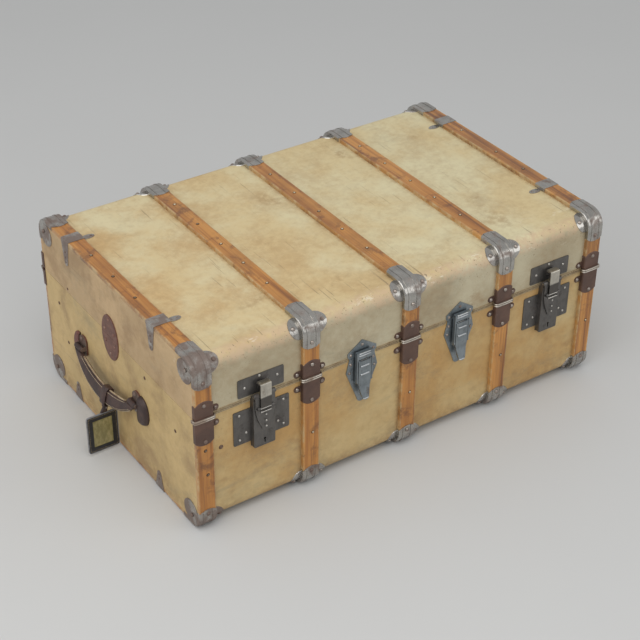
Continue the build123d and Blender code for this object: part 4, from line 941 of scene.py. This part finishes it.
grip_frames = {}
for side, way in (("left", 1), ("right", -1)):
    body = f"{side}_handle"
    cover(f"{side}_handle_brackets", bracket_finish)
    pin = pivot(f"{side}_handle_swing")
    low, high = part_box(f"{side}_handle_grip")
    half_span = (high.y - low.y) / 2
    outer = arc_points(half_span, tab_drop, grip_bow, grip_steps)
    inner = arc_points(half_span - tab_long, tab_drop, grip_bow - grip_broad, grip_steps)
    origin = np.array((pin[0], (low.y + high.y) / 2, pin[2]))
    away = np.array((-way * math.sin(grip_tilt), 0, -math.cos(grip_tilt)))
    outward = np.array((-way * math.cos(grip_tilt), 0, math.sin(grip_tilt)))
    grip_frames[side] = (origin, away, outward)
    centre, reach = (outer + inner) / 2, (outer - inner) / 2
    share = np.linspace(-1, 1, grip_steps)
    box_cos, box_sin = pillow(grip_around, grip_square)
    thick = grip_half_thick * (1 - neck_thin * share ** 2)
    in_plane = centre[:, None] + reach[:, None] * box_sin[None, :, None]
    crown = 1 - grip_crown * np.abs(box_sin) ** 2
    rings = (origin + in_plane[..., 0:1] * lengthways - in_plane[..., 1:2] * away
             + (thick[:, None] * box_cos * crown)[..., None] * outward)
    faces = skin_faces(grip_steps, grip_around)
    if way > 0:
        faces = [face[::-1] for face in faces]
    grip = surface(f"{side}_grip", rings.reshape(-1, 3), faces, hide_finish)
    attach(grip, body)
    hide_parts(f"{side}_handle_grip")
    for number, (y, inside) in enumerate(((low.y, 1), (high.y, -1))):
        barrel = [(pin[0], y + inside * step, pin[2]) for step in np.linspace(0, tab_long, 7)]
        tube(f"{side}_grip_eye_{number}", barrel, eye_radius, hide_finish, body, 20)
    for number, edge in enumerate((-1, 1)):
        line = centre[sewn] + edge * reach[sewn] * stitch_line
        for row, face_side in enumerate((1, -1)):
            spots = (origin + line[:, 0:1] * lengthways - line[:, 1:2] * away
                     + face_side * (thick[sewn, None] * stitch_sunk) * outward)
            scatter(f"{side}_grip_stitches_{number}_{row}", stitch, spots, face_side * outward, stitch_size,
                    thread_finish, body, along=np.gradient(spots, axis=0))
        rim = centre[sewn] + edge * reach[sewn] * cut_line
        rim_route = origin + rim[:, 0:1] * lengthways - rim[:, 1:2] * away
        tube(f"{side}_grip_edge_{number}", rim_route, cut_radius, cut_finish, body, 8)
    plate_low, plate_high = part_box(f"{side}_handle_brackets")
    near_pad = half_moon(f"{side}_near_pad", pin[2], plate_low.y, -1, -way, near_pad_rise, hide_finish, True)
    half_moon(f"{side}_far_pad", pin[2], plate_high.y, 1, -way, far_pad_rise, red_finish, False)
    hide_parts(f"{side}_handle_patches")
    for number, y in enumerate((plate_low.y + bracket_in, plate_high.y - bracket_in)):
        spots = [(pin[0] + way * bracket_rivet_in, y, pin[2] + up) for up in bracket_rivet_ups]
        rivets(f"{side}_plate_rivets_{number}", spots, (-way, 0, 0), rivet_radius, rivet_high, rivet_steel,
               "base")
        wide, tall = pillow(backing_around, backing_square)
        ys, zs = y + backing_half_wide * wide, pin[2] + backing_half_high * tall
        outline = np.stack((0 * wide, ys, zs), axis=1)
        layers = np.stack([outline + (-way * end - way * depth, 0, 0) for depth in backing_faces])
        faces = skin_faces(2, backing_around)
        if way < 0:
            faces = [face[::-1] for face in faces]
        backing = f"{side}_plate_backing_{number}"
        attach(surface(backing, layers.reshape(-1, 3), faces, red_finish, smooth=False), "base")

# The luggage tag
# A black leather frame round a yellowed pane with nothing written behind it. It hangs by a
# folded leather point from a dark leather keeper that goes round the left grip.
tag_low, tag_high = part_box("tag_frame")
tag_x, tag_z = (tag_low.x + tag_high.x) / 2, (tag_low.z + tag_high.z) / 2
tag_half_wide, tag_half_tall = (tag_high.x - tag_low.x) / 2, (tag_high.z - tag_low.z) / 2
tag_black = Finish("black_leather", Roughness=0.42)
tag_grain = tag_black.noise(160, 5, 0.65)
rim_near = (abs(tag_black.x - tag_x) - tag_half_wide).highest(abs(tag_black.z - tag_z) - tag_half_tall)
tag_tone = tag_black.blend(tag_grain.rise(0.4, 0.7), (0.010, 0.010, 0.011), (0.028, 0.027, 0.028))
rim_rub = rim_near.rise(-0.0024, -0.0010) * tag_grain.rise(0.3, 0.5)
tag_tone = tag_black.blend(rim_rub, tag_tone, (0.22, 0.22, 0.23))
tag_black.relief(tag_grain, 0.0006)
cover("tag_frame", tag_black.wear(Base_Color=tag_tone, Roughness=0.34 + tag_grain * 0.3))

pane = Finish("yellowed_pane", Roughness=0.22)
crazing = pane.noise(90, 6, 0.75, pane.stretched((1, 1, 0.5), (0, 0.5, 0)))
pane_tone = pane.blend(crazing.rise(0.35, 0.62), (0.36, 0.31, 0.14), (0.22, 0.19, 0.075))
pane_tone = pane.blend(crazing.rise(0.62, 0.7) * 0.6, pane_tone, (0.46, 0.42, 0.24))
pane.relief(crazing, 0.0008)
cover("tag_window", pane.wear(Base_Color=pane_tone))

band_half = 0.009
band_thick = 0.0016
band_slack_away = 0.0026
band_slack_out = 0.0014
band_lift = 0.0007
band_around = 56
band_square = 0.5
# The band's section, with softened outer corners: its share of the thickness, and of the width.
band_section = np.array(((0, -1), (0.35, -1), (1, -0.94), (1, 0.94), (0.35, 1), (0, 1), (0, 0)))
keeper_low, keeper_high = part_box("tag_keeper")
keeper_y = (keeper_low.y + keeper_high.y) / 2
origin, away, outward = grip_frames["left"]
loop_cos, loop_sin = pillow(band_around, band_square)
middle_away = grip_bow - grip_broad / 2 - band_lift
grow = band_section[None, :, 0:1] * band_thick
reach_away = (grip_broad / 2 + band_slack_away + grow) * loop_sin[:, None, None] + middle_away
reach_out = (grip_half_thick + band_slack_out + grow) * loop_cos[:, None, None]
keeper_points = (reach_away * away + reach_out * outward
                 + band_section[None, :, 1:2] * band_half * lengthways + (origin[0], keeper_y, origin[2]))
band_faces = grid_faces(band_around, len(band_section), hoop=True)
keeper = surface("keeper_band", keeper_points.reshape(-1, 3), band_faces, hide_finish)
attach(keeper, "left_handle")
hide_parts("tag_keeper")

ear_off = 0.0058
ear_half_wide = 0.0030
ear_half_thick = 0.0008
ear_steps = np.linspace(-0.0026, 0.0050, 5)
ear_around = 16
ear_square = 0.6
keeper_pin_half = 0.0066
keeper_pin_radius = 0.0015
hang = pivot("tag_swing")
across_ear = np.cross(away, lengthways)
for number, way in enumerate((-1, 1)):
    route = np.array((hang[0], keeper_y + way * ear_off, hang[2])) - ear_steps[:, None] * away
    wide, deep = pillow(ear_around, ear_square)
    ear_points = (route[:, None] + (ear_half_wide * wide[None, :, None]) * across_ear
                  + (ear_half_thick * deep[None, :, None]) * lengthways)
    ear_faces = skin_faces(len(ear_steps), ear_around)
    ear = surface(f"keeper_ear_{number}", ear_points.reshape(-1, 3), ear_faces, hide_finish)
    attach(ear, "left_handle")
pin_steps = np.linspace(-keeper_pin_half, keeper_pin_half, 5)
pin_route = [(hang[0], keeper_y + step, hang[2]) for step in pin_steps]
tube("keeper_pin", pin_route, keeper_pin_radius, pin_finish, "left_handle", 12)

strap_above_pin = 0.0033
strap_top_half = 0.0034
strap_widening = 0.0058
strap_deep = 0.0034
strap_thinning = 0.0010
strap_rows = 15
strap_around = 20
strap_square = 0.55
strap_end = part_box("tag_strap")[0].z
drop = np.linspace(0, 1, strap_rows)
strap_top = hang[2] + strap_above_pin
strap_z = strap_top + (strap_end - strap_top) * drop
strap_x = hang[0] + (tag_x - hang[0]) * np.clip(drop * 1.25 - 0.25, 0, 1)
half_wide = strap_top_half + strap_widening * np.clip(drop * 1.2, 0, 1) ** 0.9
half_wide[-2:] *= (0.93, 0.6)
half_deep = strap_deep - strap_thinning * drop
ring_cos, ring_sin = pillow(strap_around, strap_square)
strap_points = np.stack((strap_x[:, None] + half_wide[:, None] * ring_cos,
                         keeper_y + half_deep[:, None] * ring_sin, strap_z[:, None] + 0 * ring_cos), axis=-1)
strap_faces = skin_faces(strap_rows, strap_around)
strap = surface("folded_point", strap_points.reshape(-1, 3), strap_faces, hide_finish)
attach(strap, "tag")
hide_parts("tag_strap")

seam_in = 0.0040
per_leg = 18
tag_stitch = (0.0013, 0.0004, 0.0003)
corner_signs = np.array(((-1, -1), (1, -1), (1, 1), (-1, 1)))
posts = corner_signs * (tag_half_wide - seam_in, tag_half_tall - seam_in)
legs = np.roll(posts, -1, axis=0) - posts
shares = (np.arange(per_leg) + 0.5) / per_leg
seam_ring = (posts[:, None] + shares[None, :, None] * legs[:, None]).reshape(-1, 2)
ways = np.repeat(legs, per_leg, axis=0)
runs = np.stack((ways[:, 0], 0 * ways[:, 0], ways[:, 1]), axis=1)
for number, (out, face_y) in enumerate(((-1, tag_low.y), (1, tag_high.y))):
    face_ys = np.full(len(seam_ring), face_y)
    spots = np.stack((tag_x + seam_ring[:, 0], face_ys, tag_z + seam_ring[:, 1]), axis=1)
    scatter(f"tag_stitches_{number}", stitch, spots, (0, out, 0), tag_stitch, cut_finish, "tag", along=runs)
